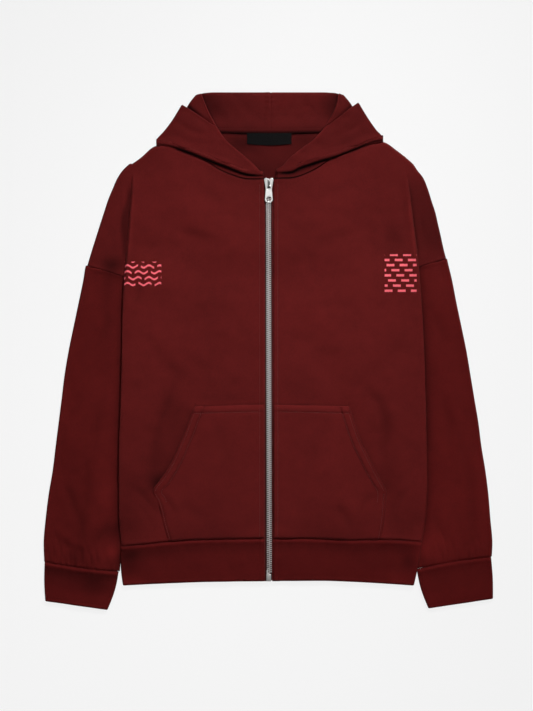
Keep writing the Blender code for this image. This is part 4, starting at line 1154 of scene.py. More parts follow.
def hem_half(side):
    """Rows of half of the hem band, from the zip round the side fold to the middle of the back."""
    sign = SIDES[side]
    part, added = rule(HEM_HIGH, 3.0, SEAM_RUN, EDGE_RUN)
    rows = part, -added
    low = BAND_WALL / 2

    def place(shares, start):
        x = across(shares, start, HEM_FIRST_X - FOLD_TURN)
        y = down(rows, HEM_SEAM(side, x) - SEAM_GAP / 2, HEM_EDGE(side, x))
        x = across(shares, start, HEM_SIDE(side, y[:, -1:]) - BAND_SKIN / 2 - FOLD_TURN)
        return x, down(rows, HEM_SEAM(side, x[-1]) - SEAM_GAP / 2, HEM_EDGE(side, x[-1]))

    x, y = place(rule(BODY_HALF, 3.6, ZIP_RUN, (0, 1.2, 3, 6)), zip_edge(side))
    from_seam = HEM_SEAM(side, x) - y
    from_end = y - HEM_EDGE(side, x)
    z = front_z(side, np.minimum(x, BODY_HALF), HEM_TOP) + HEM_RISE + turned_edge(x, side)
    z = z + uneven(sign * x, y, (), (0.5, 34, 51), (0.22, 12, 52))
    z = z + 0.4 * ripples(sign * x, 15, 4) * hump(from_seam, 14) - 1.0 * hump(from_seam - 14, 9)
    z = z - 1.4 * hump(from_seam, 1.5) + 1.0 * hump(from_seam - 4.2, 2.2)
    z = z - 1.9 * (1 - curl(from_end, 3.0)) - 0.5 * hump(from_end - 5.5, 1.2)
    z = z - 1.2 * (1 - curl(x - zip_edge(side), 1.9))
    reach, part = nose(7)
    side_x = x[:, -1:] + FOLD_TURN
    fold = points(sign * (side_x - reach[::-1]), y[:, -1:], mix(low, z[:, -1:], part[::-1]))
    back_x, back_y = place(rule(BODY_HALF, 12), 0.0)
    back = points(sign * back_x, back_y, low)[:, ::-1]
    half = np.concatenate([points(sign * x, y, z), fold, back], axis=1)
    shade = np.zeros(half.shape[:2])
    shade[:, : x.shape[1]] = 0.20 * hump(from_seam - 13, 10) + 0.50 * hump(from_seam, 1.4)
    shade[:, : x.shape[1]] -= 0.26 * hump(from_seam - 4.0, 1.7)
    return half, shade


def make_hem():
    right, left = hem_half("right"), hem_half("left")
    grid, shade = (np.concatenate([a, b[:, ::-1][:, 1:]], axis=1) for a, b in zip(right, left))
    cloth = Cloth()
    cloth.grid(grid, painted_shade=shade)
    cloth.sew("hem_band_cloth", "hem_band", BAND_CLOTH, wall=BAND_SKIN, slot="band_cloth",
              flat=(0.95, 0.068))


# ---- Hood ----

CENTRE_SEAM = 2.6  # the crown's seam lies a little to the wearer's left
CROWN_ROWS = (182, 183, 185, 189, 195, 205, 220, 240, 260, 280, 300, 320, 340)
CROWN_Z = (2.35, 1.1, 3.6)  # heights: where its two layers meet, its lower one, its upper one
LOWER_ROWS = np.concatenate([[0.45, 0.6, 0.8], np.linspace(1, 3.6, 17), [3.75, 3.87, 3.95, 4.0]])
UPPER_ROWS = np.concatenate([np.linspace(5, 6.7, 12), [6.8, 6.88, 6.95, 7.0]])
LIP_PATH = (  # from the neck seam in under the lip and out over it: line, distance, height, painted shade
    ("seam", 0.2, 0.0, 0.90), ("seam", 1.1, 0.3, 0.72), ("seam", 2.0, 0.5, 0.05),
    ("middle", 0.0, 0.7, 0.20), ("lip", -1.4, 0.7, 0.80), ("lip", -0.4, 0.7, 0.95),
    ("inside", 3.0, 0.8, 0.96), ("inside", 6.0, 1.5, 0.96), ("inside", 7.5, 2.4, 0.96),
    ("inside", 6.5, 3.3, 0.96), ("lip", 3.0, 3.7, 0.96), ("lip", 1.6, 4.1, 0.96),
    ("lip", 1.2, 4.8, 0.92), ("lip", 1.7, 5.7, 0.62), ("lip", 2.8, 6.3, 0.22),
    ("lip", 4.4, 6.6, 0.05), ("lip", 6.5, 6.7, 0.0),
)
LIP_HEIGHT = Table("u part", (0, 0.22), (0.1, 0.26), (0.3, 0.60), (0.8, 0.66), (0.93, 0.42), (1, 0.2))
FLAP_WIDTH = 100.0  # about its width from the fold to the opening
TIP_DIP = {"right": 2.6, "left": 1.4}  # where the hood's upper part comes out from under the tip
TIP_SHADE = {"right": 0.85, "left": 0.40}
CORNER_SHADE = {"right": (0.40, 46.0), "left": (0.42, 34.0)}
# Painted shade laid all over each hood flap
FLAP_SHADE = {"right": 0.09, "left": 0.19}


def hood_column(side, name, low_rows, high_rows):
    """One column of the hood's table, over rows of its lower and of its upper part."""
    return np.concatenate([HOOD[side]["lower"](name, low_rows), HOOD[side]["upper"](name, high_rows)])


def flap_line(side):
    """Distances out along the lip, and the part of the way from the outer fold to the edge."""
    table = HOOD[side]["lower"]
    first, last = table("fold_x", 0), table("edge_x", 0)
    x = across(rule(170, 3.3, (0, 1, 2.5, 4.5), EDGE_RUN), -first, -last)
    return -x, (first + x) / (first - last)


def flap(side, part, r):
    """The flap's places at rows r: X, Y and Z arrays, and the part of the way from its fold to its edge.
    """
    lip_x, u = flap_line(side)
    r = r[:, None]
    table = HOOD[side][part]
    x, y, z = (mix(table("fold_" + axis, r), table("edge_" + axis, r), u) for axis in "xyz")
    start = HOOD[side]["lower"]
    lip_line = mix(start("fold_y", 0), start("edge_y", 0), u)
    return x, y + (HOOD_LIP(side, lip_x) - lip_line) * np.clip(1 - r / 7, 0, 1) ** 2, z, u


def flap_relief(side, x, y, u, z):
    edge = (1 - u) * FLAP_WIDTH
    relief = uneven(SIDES[side] * x, y, HOOD_CREASES[side], (0.7, 30, 61), (0.3, 12, 62))
    z = z + relief * rise(u * FLAP_WIDTH, 0, 10)
    z = z + mix(0.4, 1.0, rise(y, 350, 385)) * hump(edge - 3, 3.5)
    return z - 2.6 * (1 - curl(edge, 2.6))


def hood_lip(side):
    """Rows from the neck seam in under the flap's lower lip and out over it, and their shade."""
    lip_x, u = flap_line(side)
    neck, lip = FRONT_TOP(side, lip_x), HOOD_LIP(side, lip_x)
    base = front_z(side, lip_x, neck) - 0.5
    high = LIP_HEIGHT("part", u)
    line = {"seam": neck, "middle": (neck + lip) / 2, "inside": np.maximum(lip, neck), "lip": lip}
    rows = np.array([points(lip_x, line[at] + out, base + up * high) for at, out, up, _ in LIP_PATH])
    deep = 0.25 + 0.75 * rise(high, 0.18, 0.5)
    return rows, np.array([dark * deep for *_, dark in LIP_PATH])


def far_layer(side):
    """The hood's far layer, from the back neck seam to its top edge: places and shade."""
    sign = SIDES[side]
    seam_x = CENTRE_SEAM * sign
    outer_x, outer_y = (
        hood_column(side, name, LOWER_ROWS[3:], UPPER_ROWS)[:, None] for name in ("floor_x", "floor_y")
    )
    u = across(rule(150, 3.3, SEAM_RUN), 0.0, 150.0) / 150.0
    x = mix(seam_x + SEAM_GAP / 2, outer_x, u)
    start = BACK_TOP(side, np.abs(x)) + 0.4
    start = start + (outer_y[0] - start[:, -1:]) * u**8
    end = mix(HOOD_TOP, outer_y[-1], u**25)
    y = mix(start, end, (outer_y - outer_y[0]) / (outer_y[-1] - outer_y[0]))
    from_seam = x - seam_x
    relief = uneven(sign * x, y, (), (0.6, 26, 71), (0.28, 10, 72))
    relief = relief + 0.4 * ripples(y, 9, 5) * hump(from_seam - 4, 5)
    z = 1.3 + 5.4 * (1 - rise(y, 351, 380)) * (1 - rise(x, 95, 150))
    z = z + 1.3 * rise(y, 385, 405) * (1 - rise(x, 90, 110))
    z = z + relief * rise(end - y, 0, 6) * rise(y - start, 0, 8) - 1.0 * hump(from_seam, 1.3)
    if side == "right":
        z = z + 0.7 * (1 - rise(from_seam, 5.6, 7.4))
    z = z - 2.2 * (1 - curl(end - y, 5.0))
    edge_x, edge_y = (
        hood_column(side, name, np.arange(5), np.arange(5, 8)) for name in ("edge_x", "edge_y")
    )
    inside = np.interp(y, edge_y, edge_x) - x
    corner, reach = CORNER_SHADE[side]
    shade = corner * (1 - rise(inside, 2, reach)) * rise(y, 362, 392) * (1 - rise(y, 408, 413))
    return points(x, y, z), shade + 0.35 * hump(inside, 3.0) + 0.55 * hump(y - start, 7.0)


def tip_underside(lower, u):
    """Rows round the tip's edge and in under it."""
    ahead = lower[-1] - lower[-5]
    ahead[:, 2] = 0
    ahead /= np.maximum(np.linalg.norm(ahead, axis=1, keepdims=True), 1e-6)
    rows = []
    for out, drop in ((0.4, 0.6), (0.4, 1.5), (-0.4, 2.2)):
        row = lower[-1] + ahead * out
        row[:, 2] = lower[-1][:, 2] - drop * (1 - 0.6 * rise(u, 0.55, 1.0))
        rows.append(row)
    return np.array(rows)


def outer_turn(start, end):
    """Rows round the hood's outer fold, from the far layer's edge to the flap's."""
    angles = np.arange(-60, 61, 30)
    start, end = start[:, None], end[:, None]
    x, y = (mix(start[..., i], end[..., i], (angles + 90) / 180) for i in (0, 1))
    z = mix(start[..., 2], end[..., 2], (1 + np.sin(np.radians(angles))) / 2)
    turn = points(x + FOLD_TURN * np.cos(np.radians(angles)), y, z)
    return np.concatenate([start, turn, end], axis=1)


def crown(side):
    """Rows of the crown, folded under the back: two layers that meet in a fold all round."""
    rows = []
    for y in CROWN_ROWS:
        half = float(BAG(side, y)) - SKIN / 2
        low, high = (mix(CROWN_Z[0], z, float(curl(y - CROWN_ROWS[0], 4.0))) for z in CROWN_Z[1:])
        x = np.linspace(0, 1, 9) * (half - FOLD_TURN)
        reach, part = nose(5)
        fold = points(half - reach, y, mix(low, high, part))
        rows.append(np.concatenate([points(x, y, low), fold, points(x[::-1], y, high)]))
    return np.array(rows)


def make_hoods():
    for side, sign in SIDES.items():
        far, far_shade = far_layer(side)
        lip, lip_shade = hood_lip(side)
        x, y, z, u = flap(side, "lower", LOWER_ROWS)
        z = mix(lip[-1, :, 2], z, rise(LOWER_ROWS, 0.2, 1.3)[:, None])
        lip[..., 2] -= 2.0 * (1 - curl((1 - u) * FLAP_WIDTH, 2.6))
        z = flap_relief(side, x, y, u, z) + 0.9 * rise(LOWER_ROWS, 2.6, 3.9)[:, None] * (1 - u)
        lower = points(x, y, z)
        under = tip_underside(lower, u)
        x, y, z, _ = flap(side, "upper", UPPER_ROWS)
        from_tip = (UPPER_ROWS - 5)[:, None] / 2 * mix(24.0, 50.0, u)
        z = flap_relief(side, x, y, u, z)
        z = z - TIP_DIP[side] * (1 - rise(from_tip, 0.5, 6.5)) * (1 - 0.75 * u)
        upper = points(x, y, z - 1.5 * (1 - curl((7 - UPPER_ROWS)[:, None] * 14, 3.0)))
        tip_shade = TIP_SHADE[side] * hump(from_tip, mix(7.0, 3.5, u)) * (1 - rise(u, 0.25, 0.7))
        flaps = np.concatenate([lip, lower, under, upper])
        shade = np.zeros(flaps.shape[:2])
        shade[: len(lip)] = lip_shade
        shade[len(lip) + len(lower) + 1 : -len(upper)] = TIP_SHADE[side]
        shade[-len(upper) :] = tip_shade
        # A painted highlight along the flap's opening edge, and painted shade all over the flap
        rim = rise(flaps[..., 1], 325, 345) * hump((1 - u) * FLAP_WIDTH - 3.0, 4.0)
        shade = shade + FLAP_SHADE[side] - 0.20 * rim
        turns = outer_turn(far[:, -1], np.concatenate([lower[3:, 0], upper[:, 0]]))
        cloth = Cloth()
        cloth.grid(far * (sign, 1, 1), painted_shade=far_shade, shading_rows=FAR_PAINTED_SHADING)
        cloth.grid(flaps * (sign, 1, 1), painted_shade=shade, shading_rows=FLAP_PAINTED_SHADING)
        cloth.grid(turns * (sign, 1, 1), painted_shade=FLAP_SHADE[side], shading_rows=FLAP_PAINTED_SHADING)
        cloth.grid(crown(side) * (sign, 1, 1))
        cloth.sew("hood_" + side + "_cloth", "hood_" + side, CLOTH, INSIDE_CLOTH,
                  held="folded", flat=(0.27, 0.35), area=0.075)


# ---- What is sewn on ----


def back_top_z(x, y):
    right, left = (back_z(side, np.abs(x), y) for side in SIDES)
    return np.where(x < 0, right, left) + WALL / 2


# Each from its first X to its last, and from its lower edge to its upper one
TAPE_ACROSS, TAPE_UP = (-84.0, 84.0), (349.8, 356.2)
LABEL_ACROSS, LABEL_UP = (-34.8, 36.4), (331.2, 348.6)


def make_trim():
    cloth = Cloth()
    x = across(rule(168, 3.0, (0, 0.5, 1.4), (0, 0.5, 1.4)), *TAPE_ACROSS)
    y = down(rule(6.4, 1.2, (0, 0.3, 0.8), (0, 0.3, 0.8)), *TAPE_UP)
    raised = 0.5 * np.sqrt(np.clip(1 - np.abs(y - 353.0) / 3.2, 0, 1))
    shade = 0.20 + 0.60 * (1 - rise(y, 350.0, 355.5))
    y = y - 1.2 * np.cos(x / 60.0)
    z = back_top_z(x, y) + 0.75 + raised + 0.12 * ripples(x, 7, 1)
    cloth.grid(points(x, y, z), painted_shade=shade)
    cloth.sew("neck_tape_cloth", "neck_tape", INSIDE_CLOTH, wall=0.9,
              flat=(0.17, 0.010), rests_on=["back"], area=0.0011)
    cloth = Cloth()
    x = across(rule(71, 3.0, (0, 0.4, 1), (0, 0.4, 1)), *LABEL_ACROSS)
    y = down(rule(17, 2.4, (0, 0.5, 1.2), (0, 0.5)), *LABEL_UP)
    y = y - 2.4 * np.sin(math.pi * (x - LABEL_ACROSS[0]) / 71.2) * (1 - rise(y, 331, 348))
    z = back_top_z(x, y) + 0.9 + 0.25 * np.sin(x / 11.0) * (1 - rise(y, 333, 348))
    cloth.grid(points(x, y, z))
    cloth.sew("neck_label", "label", LABEL, wall=0.6, slot="label_weave",
              flat=(0.0715, 0.0185), rests_on=["back"])


POCKET_TOP = -88.6
POCKET_GAP = 0.6
POCKET_SAG = 2.4
POCKET_ROW = 3.2  # from the slanted edge to its first row of stitches
POCKET_HEM = 13.0  # and to its second one
POCKET_TOP_ROW = 10.5  # from the top edge to its stitches
POCKET_FIRST_X = 150.0  # a first guess at its outer edge
POCKET_OPEN = (-232.0, -216.0)  # heights between which the sewn edge becomes the slanted opening


def slant_length(side, y):
    """Length along the pocket's outer edge for each mm up."""
    steep = (POCKET_EDGE(side, y - 1) - POCKET_EDGE(side, y + 1)) / 2
    return np.sqrt(1 + steep * steep)


def slant(side, x, y):
    """Distance in from the pocket's outer edge."""
    return (POCKET_EDGE(side, y) - x) / slant_length(side, y)


def pocket_top(side, x):
    inner = zip_edge(side) + POCKET_GAP
    u = np.clip((x - inner) / (POCKET_EDGE(side, POCKET_TOP) - inner), 0, 1)
    return POCKET_TOP + POCKET_SAG * (1 - u)


def pocket_height(side, x, y):
    """Middle of a pocket's wall, with its relief."""
    z = front_z(side, x, y) + LAYER + 0.35 * front_relief(side, x, y) + turned_edge(x, side)
    z = z + uneven(SIDES[side] * x, y, POCKET_CREASES[side], (0.45, 26, 81))
    into = slant(side, x, y)
    opening = rise(y, *POCKET_OPEN)
    hem = POCKET_HEM * opening + 4.0 * (1 - opening)
    raised = mix(0.2, 1.0, opening) * (1 - rise(into, hem - 1.5, hem + 2.5))
    raised = raised - 1.7 * (1 - opening) * (1 - rise(into, 0, 7))
    grooves = 0.8 * hump(into - hem, 1.3) + 0.5 * hump(into - POCKET_ROW, 1.0)
    puckers = 0.5 * ripples(y * 1.2 + x, 8.0, 6) * hump(into - 8.0, 4.0) * opening
    from_top = pocket_top(side, x) - y
    z = z + raised - grooves + puckers
    z = z - 1.2 * (1 - rise(from_top, 0, 8)) - 0.6 * hump(from_top - POCKET_TOP_ROW, 1.1)
    return z - 1.4 * hump(y - HEM_SEAM(side, x) - POCKET_GAP, 1.8)


def pocket_shade(side, x, y):
    """The light that a pocket loses, along its seams and its opening."""
    lost = creases(SIDES[side] * x, y, POCKET_CREASES[side], troughs=True)
    above_hem = y - HEM_SEAM(side, x)
    lost = lost + 0.16 * (1 - rise(above_hem, 4, 40)) + 0.45 * hump(above_hem, 1.8)
    into = slant(side, x, y)
    lost = lost + 0.20 * rise(y, *POCKET_OPEN) * hump(into - POCKET_HEM, 2.4) + 0.25 * hump(into, 1.2)
    from_top = pocket_top(side, x) - y
    return lost + 0.10 * hump(from_top - 8.5, 1.8) - 0.12 * hump(from_top - 2.6, 1.8)


def make_pockets():
    for side, sign in SIDES.items():
        rows = rule(215, 3.2, SEAM_RUN, POCKET_TOP_RUN)
        columns = rule(POCKET_FIRST_X, 3.2, ZIP_RUN, SLANT_RUN)
        inner = zip_edge(side) + POCKET_GAP
        x = across(columns, inner, POCKET_FIRST_X)
        for _ in range(3):
            y = down(rows, HEM_SEAM(side, x) + POCKET_GAP, pocket_top(side, x))
            x = across(columns, inner, POCKET_EDGE(side, y))
        z = pocket_height(side, x, y) - 1.2 * (1 - curl(x - inner, 1.9))
        z = z - 1.8 * (1 - curl(slant(side, x, y), 2.0)) - 1.8 * (1 - curl(pocket_top(side, x) - y, 2.0))
        cloth = Cloth()
        cloth.grid(points(sign * x, y, z), painted_shade=pocket_shade(side, x, y))
        cloth.sew("pocket_" + side + "_cloth", "pocket_" + side, CLOTH,
                  flat=(0.18, 0.222), rests_on=["front_" + side], area=0.0335)


# ---- What repeats along a path ----

PATH_SOCKETS = (
    ("Path", "INPUT", "NodeSocketGeometry"), ("Piece", "INPUT", "NodeSocketObject"),
    ("Spacing", "INPUT", "NodeSocketFloat"), ("Unevenness", "INPUT", "NodeSocketFloat"),
    ("Finish", "INPUT", "NodeSocketMaterial"), ("Pieces", "OUTPUT", "NodeSocketGeometry"),
)
PATH_NODES = {
    "start": ("NodeGroupInput", {}),
    "end": ("NodeGroupOutput", {}),
    "curve": ("GeometryNodeMeshToCurve", {}),
    "resample": ("GeometryNodeResampleCurve", {"mode": "LENGTH"}),
    "tangent": ("GeometryNodeInputTangent", {}),
    "turn": ("FunctionNodeAlignRotationToVector", {"axis": "Y"}),
    "info": ("GeometryNodeObjectInfo", {}),
    "copies": ("GeometryNodeInstanceOnPoints", {}),
    "spread": ("FunctionNodeRandomValue", {"data_type": "FLOAT_VECTOR"}),
    "low": ("ShaderNodeVectorMath", {"operation": "SCALE"}),
    "high": ("ShaderNodeVectorMath", {"operation": "SCALE"}),
    "jitter": ("FunctionNodeEulerToRotation", {}),
    "both": ("FunctionNodeRotateRotation", {"rotation_space": "LOCAL"}),
    "real": ("GeometryNodeRealizeInstances", {}),
    "finish": ("GeometryNodeSetMaterial", {}),
}
PATH_VALUES = (("low", 0, (-1, -1, -1)), ("high", 0, (1, 1, 1)), ("spread", "Seed", 7))
PATH_LINKS = (
    ("start", "Path", "curve", "Mesh"), ("curve", "Curve", "resample", "Curve"),
    ("start", "Spacing", "resample", "Length"), ("tangent", "Tangent", "turn", "Vector"),
    ("start", "Piece", "info", "Object"), ("resample", "Curve", "copies", "Points"),
    ("info", "Geometry", "copies", "Instance"),
    ("start", "Unevenness", "low", "Scale"), ("low", "Vector", "spread", "Min"),
    ("start", "Unevenness", "high", "Scale"), ("high", "Vector", "spread", "Max"),
    ("spread", "Value", "jitter", "Euler"), ("turn", "Rotation", "both", "Rotation"),
    ("jitter", "Rotation", "both", "Rotate By"), ("both", "Rotation", "copies", "Rotation"),
    ("copies", "Instances", "real", "Geometry"), ("real", "Geometry", "finish", "Geometry"),
    ("start", "Finish", "finish", "Material"), ("finish", "Geometry", "end", "Pieces"),
)


def path_tree():
    """Copies of a piece along a path, each turned to follow it, as one mesh."""
    tree = bpy.data.node_groups.new("pieces_along_a_path", "GeometryNodeTree")
    for name, way, kind in PATH_SOCKETS:
        tree.interface.new_socket(name=name, in_out=way, socket_type=kind)
    nodes = {}
    for name, (kind, settings) in PATH_NODES.items():
        nodes[name] = tree.nodes.new(kind)
        for setting, value in settings.items():
            setattr(nodes[name], setting, value)
    for name, socket, value in PATH_VALUES:
        nodes[name].inputs[socket].default_value = value
    for source, output, target, socket in PATH_LINKS:
        tree.links.new(nodes[source].outputs[output], nodes[target].inputs[socket])
    return tree


def along_paths(name, tree, paths, piece, spacing, finish, turned=0.0):
    """A plain mesh of copies of piece along polylines of places in mm, each turned a little."""
    verts, edges = [], []
    for path in paths:
        first = len(verts)
        verts += [tuple(place) for place in path * MM]
        edges += [(i, i + 1) for i in range(first, len(verts) - 1)]
    data = bpy.data.meshes.new(name + "_path")
    data.from_pydata(verts, edges, [])
    guide = placed(name + "_path", data)
    modifier = guide.modifiers.new("along", "NODES")
    modifier.node_group = tree
    values = {"Piece": piece, "Spacing": spacing * MM, "Unevenness": turned, "Finish": finish}
    for item in tree.interface.items_tree:
        if item.in_out == "INPUT" and item.name in values:
            modifier[item.identifier] = values[item.name]
    evaluated = guide.evaluated_get(bpy.context.evaluated_depsgraph_get())
    result = bpy.data.meshes.new_from_object(evaluated)
    result.name = name
    bpy.data.objects.remove(guide)
    bpy.data.objects.remove(piece)
    return placed(name, result)


def small_solid(name, rings, finish=None):
    """A closed solid from rings of points in mm, each with as many points."""
    mesh = bmesh.new()
    rings = [[mesh.verts.new(Vector(place) * MM) for place in ring] for ring in rings]
    for low, high in zip(rings, rings[1:]):
        for i in range(len(low)):
            j = (i + 1) % len(low)
            mesh.faces.new((low[i], low[j], high[j], high[i]))
    mesh.faces.new(rings[0][::-1])
    mesh.faces.new(rings[-1])
    bmesh.ops.recalc_face_normals(mesh, faces=mesh.faces)
    data = bpy.data.meshes.new(name)
    mesh.to_mesh(data)
    mesh.free()
    if finish:
        data.materials.append(finish)
    return placed(name, data)


TOOTH_OUTLINE = ((1, 0.6), (0.66, 1), (-0.66, 1), (-1, 0.6))
TOOTH_ROWS = (  # from the root to the head: distance out, half length and half height
    (3.9, 0.40, 1.2), (3.7, 0.54, 1.5), (1.5, 0.54, 1.6), (0.4, 0.50, 1.5), (-0.6, 0.46, 1.35),
    (-1.1, 0.32, 0.8),
)
STITCH_LENGTH = 2.5
STITCH_HALF = 0.34
STITCH_SPACING = 3.1


def tape_z(y):
    return front_z("left", ZIP_EDGE, np.maximum(y, HEM_TOP)) - TAPE_DROP


def tooth(sign):
    """One tooth: a clamped root on the tape and a rounded head across the middle line."""
    corners = [*TOOTH_OUTLINE, *((-a, -b) for a, b in TOOTH_OUTLINE)]
    rings = [
        [(sign * x, half_y * a, half_z * b) for a, b in corners] for x, half_y, half_z in TOOTH_ROWS
    ]
    return small_solid("tooth", rings)


def stitch():
    """One stitch that lies along Y and dips in at both ends."""
    rings = []
    for t in np.linspace(-1, 1, 6):
        radius = STITCH_HALF * math.sqrt(max(1 - t**4, 0.08))
        middle = 0.25 * (1 - t * t) - 0.1
        angles = [math.radians(60 * k) for k in range(6)]
        rings.append([
            (radius * math.cos(a), t * STITCH_LENGTH / 2, middle + radius * 0.8 * math.sin(a))
            for a in angles
        ])
    return small_solid("stitch", rings)


def zip_line(sign, start):
    part = np.linspace(0, 1, TEETH_COUNT)
    y = start + TOOTH_PITCH * (TEETH_COUNT - 1) * part
    return points(mix(*TEETH_X, part) + sign * CLEAR / 2, y, tape_z(y))


def make_teeth(tree):
    spacing = 0.999 * TOOTH_PITCH  # just under, so that each point of the path gets its tooth
    for side, sign in SIDES.items():
        start = TEETH_START + (TOOTH_PITCH / 2 if side == "left" else 0)
        name = "zip_teeth_" + side
        obj = along_paths(name + "_metal", tree, [zip_line(sign, start)], tooth(sign), spacing, METAL)
        dress(obj, name, slot="zip_metal")


def lay(side, x, y, height):
    """Places just over a cloth whose middle is given by height."""
    return points(SIDES[side] * x, y, height(side, x, y) + SKIN / 2 + 0.15)


def seam_paths(side):
    """Stitched lines on one half of the garment's front."""
    y = np.arange(float(HEM_SEAM(side, 15)) + 4, -POCKET_SAG + 270, 5.0)
    x = zip_edge(side) + TURNED + 0 * y
    on_pocket = y < POCKET_TOP
    paths = [
        lay(side, x[on_pocket], y[on_pocket], pocket_height),
        lay(side, x[~on_pocket], y[~on_pocket], front_height),
    ]
    for into, start in ((POCKET_ROW, -222.0), (POCKET_HEM, -240.0)):
        y = np.arange(start, POCKET_TOP - 11.5, 3.0)
        paths.append(lay(side, POCKET_EDGE(side, y) - into * slant_length(side, y), y, pocket_height))
    x = np.arange(zip_edge(side) + TURNED + 4, float(POCKET_EDGE(side, POCKET_TOP - 10)) - 3, 4.0)
    paths.append(lay(side, x, pocket_top(side, x) - POCKET_TOP_ROW, pocket_height))
    y = np.arange(-298.0, -228.0, 3.0)
    paths.append(lay(side, POCKET_EDGE(side, y) - 3.6, y, pocket_height))
    return paths


def make_stitches(tree):
    piece = stitch()
    piece.data.shade_smooth()
    paths = [path for side in SIDES for path in seam_paths(side)]
    dress(along_paths("topstitching", tree, paths, piece, STITCH_SPACING, THREAD, 0.05),
          slot="sweatshirt_cloth")


# ---- Slider, pull tab and bottom box ----

SLIDER_Y = 267.0
SLIDER_PLATE = 1.2
TEETH_HEIGHT = 3.2
SLIDER_HALF = (7.6, 5.2)
SLIDER_REACH = (9.4, -9.6)
SLIDER_EAR = 3.0
SLIDER_SPLAY = (0.6, 6.0)
SLIDER_WEDGE = ((2.6, 8.0), (1.2, -4.5), (-1.2, -4.5), (-2.6, 8.0))
BAIL_HALF = 2.7
BAIL_BAR = 1.5
BAIL_HOLE = 3.0
BAIL_ENDS = (-6.6, 6.2)
BAIL_RINGS = 22
PULL_AXIS = (-3.8, 1.45)
PULL_THICK = 1.6
PULL_LENGTH = 27.0
PULL_TILT = 3.2
PULL_HALF = (4.4, 6.4)
PULL_BACK = 0.9
PULL_WINDOW = (3.1, 5.6)
PULL_HOLE = 3.9
BOX_HALF = 4.0
PIN_OUTLINE = ((-3.6, -1.0), (-1.4, -1.0), (-1.4, 6.0), (-3.6, 6.0))


def arc(centre, radius, start, end, count):
    angles = np.radians(np.linspace(start, end, count + 1))
    return [(centre[0] + radius * math.cos(a), centre[1] + radius * math.sin(a)) for a in angles]


def moved(outline, x, y):
    return [(x + a, y + b) for a, b in outline]


def mirrored(right):
    """A closed outline from its right half, which runs upwards."""
    return [*right, *((-x, y) for x, y in reversed(right))]


def plate(name, outlines, low, high, rounding, finish):
    """A flat plate with rounded edges. The first outline is its edge and the others are holes."""
    data = bpy.data.curves.new(name, "CURVE")
    data.dimensions = "2D"
    data.fill_mode = "BOTH"
    data.bevel_depth = rounding * MM
    data.bevel_resolution = 2
    data.extrude = ((high - low) / 2 - rounding) * MM
    data.offset = -rounding * MM
    for outline in outlines:
        spline = data.splines.new("POLY")
        spline.points.add(len(outline) - 1)
        for point, (x, y) in zip(spline.points, outline):
            point.co = (x * MM, y * MM, 0, 1)
        spline.use_cyclic_u = True
    shape = placed(name, data)
    mesh = bpy.data.meshes.new_from_object(shape.evaluated_get(bpy.context.evaluated_depsgraph_get()))
    bpy.data.objects.remove(shape)
    mesh.transform(Matrix.Translation((0, 0, (low + high) / 2 * MM)))
    mesh.materials.clear()
    mesh.materials.append(finish)
    return mesh


def joined(name, meshes):
    """One object from several meshes, with loose doubles merged and each mesh's own finish."""
    mesh = bmesh.new()
    finishes = []
    for data in meshes:
        if data.materials[0] not in finishes:
            finishes.append(data.materials[0])
        before = len(mesh.faces)
        mesh.from_mesh(data)
        mesh.faces.ensure_lookup_table()
        for face in mesh.faces[before:]:
            face.material_index = finishes.index(data.materials[0])
    bmesh.ops.remove_doubles(mesh, verts=mesh.verts, dist=0.005 * MM)
    bmesh.ops.recalc_face_normals(mesh, faces=mesh.faces)
    result = bpy.data.meshes.new(name)
    mesh.to_mesh(result)
    mesh.free()
    for finish in finishes:
        result.materials.append(finish)
    result.shade_smooth()
    result.set_sharp_from_angle(angle=math.radians(40))
    return placed(name, result)


def slider_outline():
    low_x, low_y = SLIDER_HALF[1], SLIDER_REACH[1]
    ear = SLIDER_HALF[0] - SLIDER_EAR, SLIDER_REACH[0] - SLIDER_EAR
    splay = low_x + SLIDER_SPLAY[0], low_y + SLIDER_SPLAY[1]
    right = [(low_x - 1.2, low_y), (low_x, low_y + 1), splay, *arc(ear, SLIDER_EAR, -20, 150, 9)]
    return moved(mirrored(right), ZIP_X, SLIDER_Y)


def bail_rings(top):
    """Rings along the bail's arch, from one of its feet on the slider to the other."""
    start, end = (SLIDER_Y + y for y in BAIL_ENDS)
    rings = []
    for i in range(BAIL_RINGS + 1):
        a = math.pi * i / BAIL_RINGS
        y = mix(end, start, 0.5 - 0.5 * math.copysign(abs(math.cos(a)) ** 0.55, math.cos(a)))
        z = top - 0.4 + (BAIL_HOLE + BAIL_BAR + 0.4 - BAIL_BAR / 2) * math.sin(a) ** 0.45
        half = BAIL_HALF * (1 - 0.25 * math.sin(a) ** 2)
        ring = []
        for b in (math.radians(45 * k + 22.5) for k in range(8)):
            inward = BAIL_BAR / 2 * math.sin(b)
            ring.append((ZIP_X + half * math.cos(b), y + inward * math.cos(a), z + inward * math.sin(a)))
        rings.append(ring)
    return rings


def make_slider():
    middle = float(tape_z(SLIDER_Y))
    gap = TEETH_HEIGHT / 2 + CLEAR
    top = middle + gap + SLIDER_PLATE
    bottom = middle - gap - SLIDER_PLATE
    wedge = moved(SLIDER_WEDGE, ZIP_X, SLIDER_Y)
    meshes = [
        plate("slider_top", [slider_outline()], middle + gap, top, 0.4, SLIDER_METAL),
        plate("slider_back", [slider_outline()], bottom, middle - gap, 0.4, SLIDER_METAL),
        plate("slider_neck", [wedge], middle - gap - 0.5, middle + gap + 0.5, 0.3, SLIDER_METAL),
    ]
    bail = small_solid("slider_bail", bail_rings(top), BAIL_PAINTED_SHADE)
    obj = joined("zip_slider_metal", [*meshes, bail.data])
    bpy.data.objects.remove(bail)
    dress(obj, "zip_slider", slot="zip_metal")
    return top


